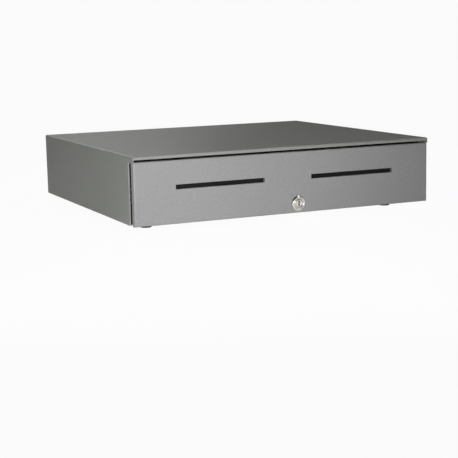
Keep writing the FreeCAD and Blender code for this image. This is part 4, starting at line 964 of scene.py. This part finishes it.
def room(strength):
    """Soft room light: brightest at eye level, and dim overhead."""
    world = bpy.data.worlds.new("room")
    bpy.context.scene.world = world
    world.use_nodes = True
    tree = world.node_tree
    tree.nodes.clear()
    up = add(tree, "SeparateXYZ", {0: add(tree, "TexCoord").outputs["Generated"]}).outputs[2]
    level = add(tree, "MapRange", {"Value": up, "From Min": 0.0, "From Max": 0.5,
                                   "To Min": strength, "To Max": 0.06 * strength}).outputs[0]
    lit = add(tree, "Background", {"Color": four((1.0,) * 3), "Strength": level})
    # Just under white, so that the paper's far edge doesn't show against it.
    white = add(tree, "Background", {"Color": four((0.975,) * 3), "Strength": 1.0})
    camera = add(tree, "LightPath").outputs["Is Camera Ray"]
    mixed = add(tree, "MixShader", {0: camera, 1: lit.outputs[0], 2: white.outputs[0]})
    add(tree, "OutputWorld", {"Surface": mixed.outputs[0]})


class DRAWER_OT_stage(bpy.types.Operator):
    """Builds the paper sweep, the lamps and the camera"""

    bl_idname = "drawer.stage"
    bl_label = "Stage"

    def execute(self, context):
        values = context.scene.drawer_stage
        floor, reach, wall, radius = bmesh.new(), 4.0, 3.0, 0.8
        bmesh.ops.create_grid(floor, x_segments=1, y_segments=1, size=reach)
        far = [e for e in floor.edges if all(v.co.y > reach - 0.1 for v in e.verts)]
        raised = bmesh.ops.extrude_edge_only(floor, edges=far)["geom"]
        bmesh.ops.translate(floor, vec=(0, 0, wall), verts=verts_in(raised))
        bend = [e for e in floor.edges if all(v.co.y > reach - 0.1 and v.co.z < 0.1 for v in e.verts)]
        bmesh.ops.bevel(floor, geom=bend, offset=radius, segments=12, profile=0.5, affect="EDGES",
                        material=-1)
        mesh = bpy.data.meshes.new("paper_sweep")
        floor.to_mesh(mesh)
        floor.free()
        mesh.polygons.foreach_set("use_smooth", [True] * len(mesh.polygons))
        sweep = bpy.data.objects.new("paper_sweep", mesh)
        context.scene.collection.objects.link(sweep)
        sweep.data.materials.append(paper(values.floor))

        room(values.sky)
        soft_lamp("key", values.key, (-0.38, -0.84, 0.14), (-0.13, -0.214, 0.06), 0.6, 0.22, 72)
        soft_lamp("fill", values.fill, (-1.3, 0.0, 0.32), (-0.239, -0.02, 0.07), 0.8, 0.4, 130)
        soft_lamp("strip", values.top, (0.35, -0.5, 0.9), (-0.15, -0.2, 0.1), 0.8, 0.08, 100)
        soft_lamp("rim", values.rim, (-0.4, 1.7, 0.9), (-0.2, 0.1, 0.1), 0.8, 0.1)
        soft_lamp("rear", values.rear, (0, 1.2, 0.8), (0.02, 0.214, 0.06), 0.9, 0.4, 70)

        middle = sum((Vector(c) for c in CAD_BOX), Vector()) / 2
        camera = bpy.data.cameras.new("camera")
        camera.sensor_width = 36.0
        camera.lens = values.lens
        camera.clip_end = 30.0
        place = (values.distance * math.sin(values.azimuth),
                 -values.distance * math.cos(values.azimuth), values.height)
        eye = bpy.data.objects.new("camera", camera)
        aimed(eye, place, (middle.x, middle.y, middle.z - values.drop))
        eye.matrix_world @= Matrix.Rotation(values.roll, 4, "Z")
        context.scene.camera = eye
        context.scene.view_settings.view_transform = "Standard"
        return {"FINISHED"}


class DRAWER_OT_finishes(bpy.types.Operator):
    """Gives every part that came from the CAD model its real finish"""

    bl_idname = "drawer.finishes"
    bl_label = "Finishes"

    def execute(self, context):
        FINISHES.update(make_finishes(context.scene.drawer_finishes, context.scene.drawer_board.wire))
        for name, obj in frame["nodes"].items():
            for place in obj.material_slots:
                place.material = FINISHES[SLOTS[name]]
        return {"FINISHED"}


class DRAWER_PT_panel(bpy.types.Panel):
    """Lists what builds the drawer"""

    bl_label = "Cash Drawer"
    bl_idname = "DRAWER_PT_panel"
    bl_space_type = "VIEW_3D"
    bl_region_type = "UI"
    bl_category = "Cash Drawer"

    def draw(self, context):
        for operator in OPERATORS:
            self.layout.operator(operator.bl_idname)


GROUPS = {"drawer_finishes": DrawerFinishes, "drawer_cover": DrawerCover, "drawer_lock": DrawerLock,
          "drawer_screws": DrawerScrews, "drawer_board": DrawerBoard, "drawer_pusher": DrawerPusher,
          "drawer_stage": DrawerStage}
OPERATORS = (DRAWER_OT_finishes, DRAWER_OT_cover, DRAWER_OT_screws, DRAWER_OT_lock, DRAWER_OT_board,
             DRAWER_OT_socket, DRAWER_OT_coil, DRAWER_OT_pusher, DRAWER_OT_stage)


def register():
    """Adds the add-on's classes, and its values to every scene."""
    for cls in (*GROUPS.values(), *OPERATORS, DRAWER_PT_panel):
        bpy.utils.register_class(cls)
    for name, group in GROUPS.items():
        setattr(bpy.types.Scene, name, PointerProperty(type=group))


def unregister():
    """Takes out what register added."""
    for name in GROUPS:
        delattr(bpy.types.Scene, name)
    for cls in (DRAWER_PT_panel, *reversed(OPERATORS), *GROUPS.values()):
        bpy.utils.unregister_class(cls)


def main():
    """Builds the drawer and its stage."""
    register()
    for operator in OPERATORS:
        group, action = operator.bl_idname.split(".")
        getattr(getattr(bpy.ops, group), action)()


if __name__ == "__main__":
    main()
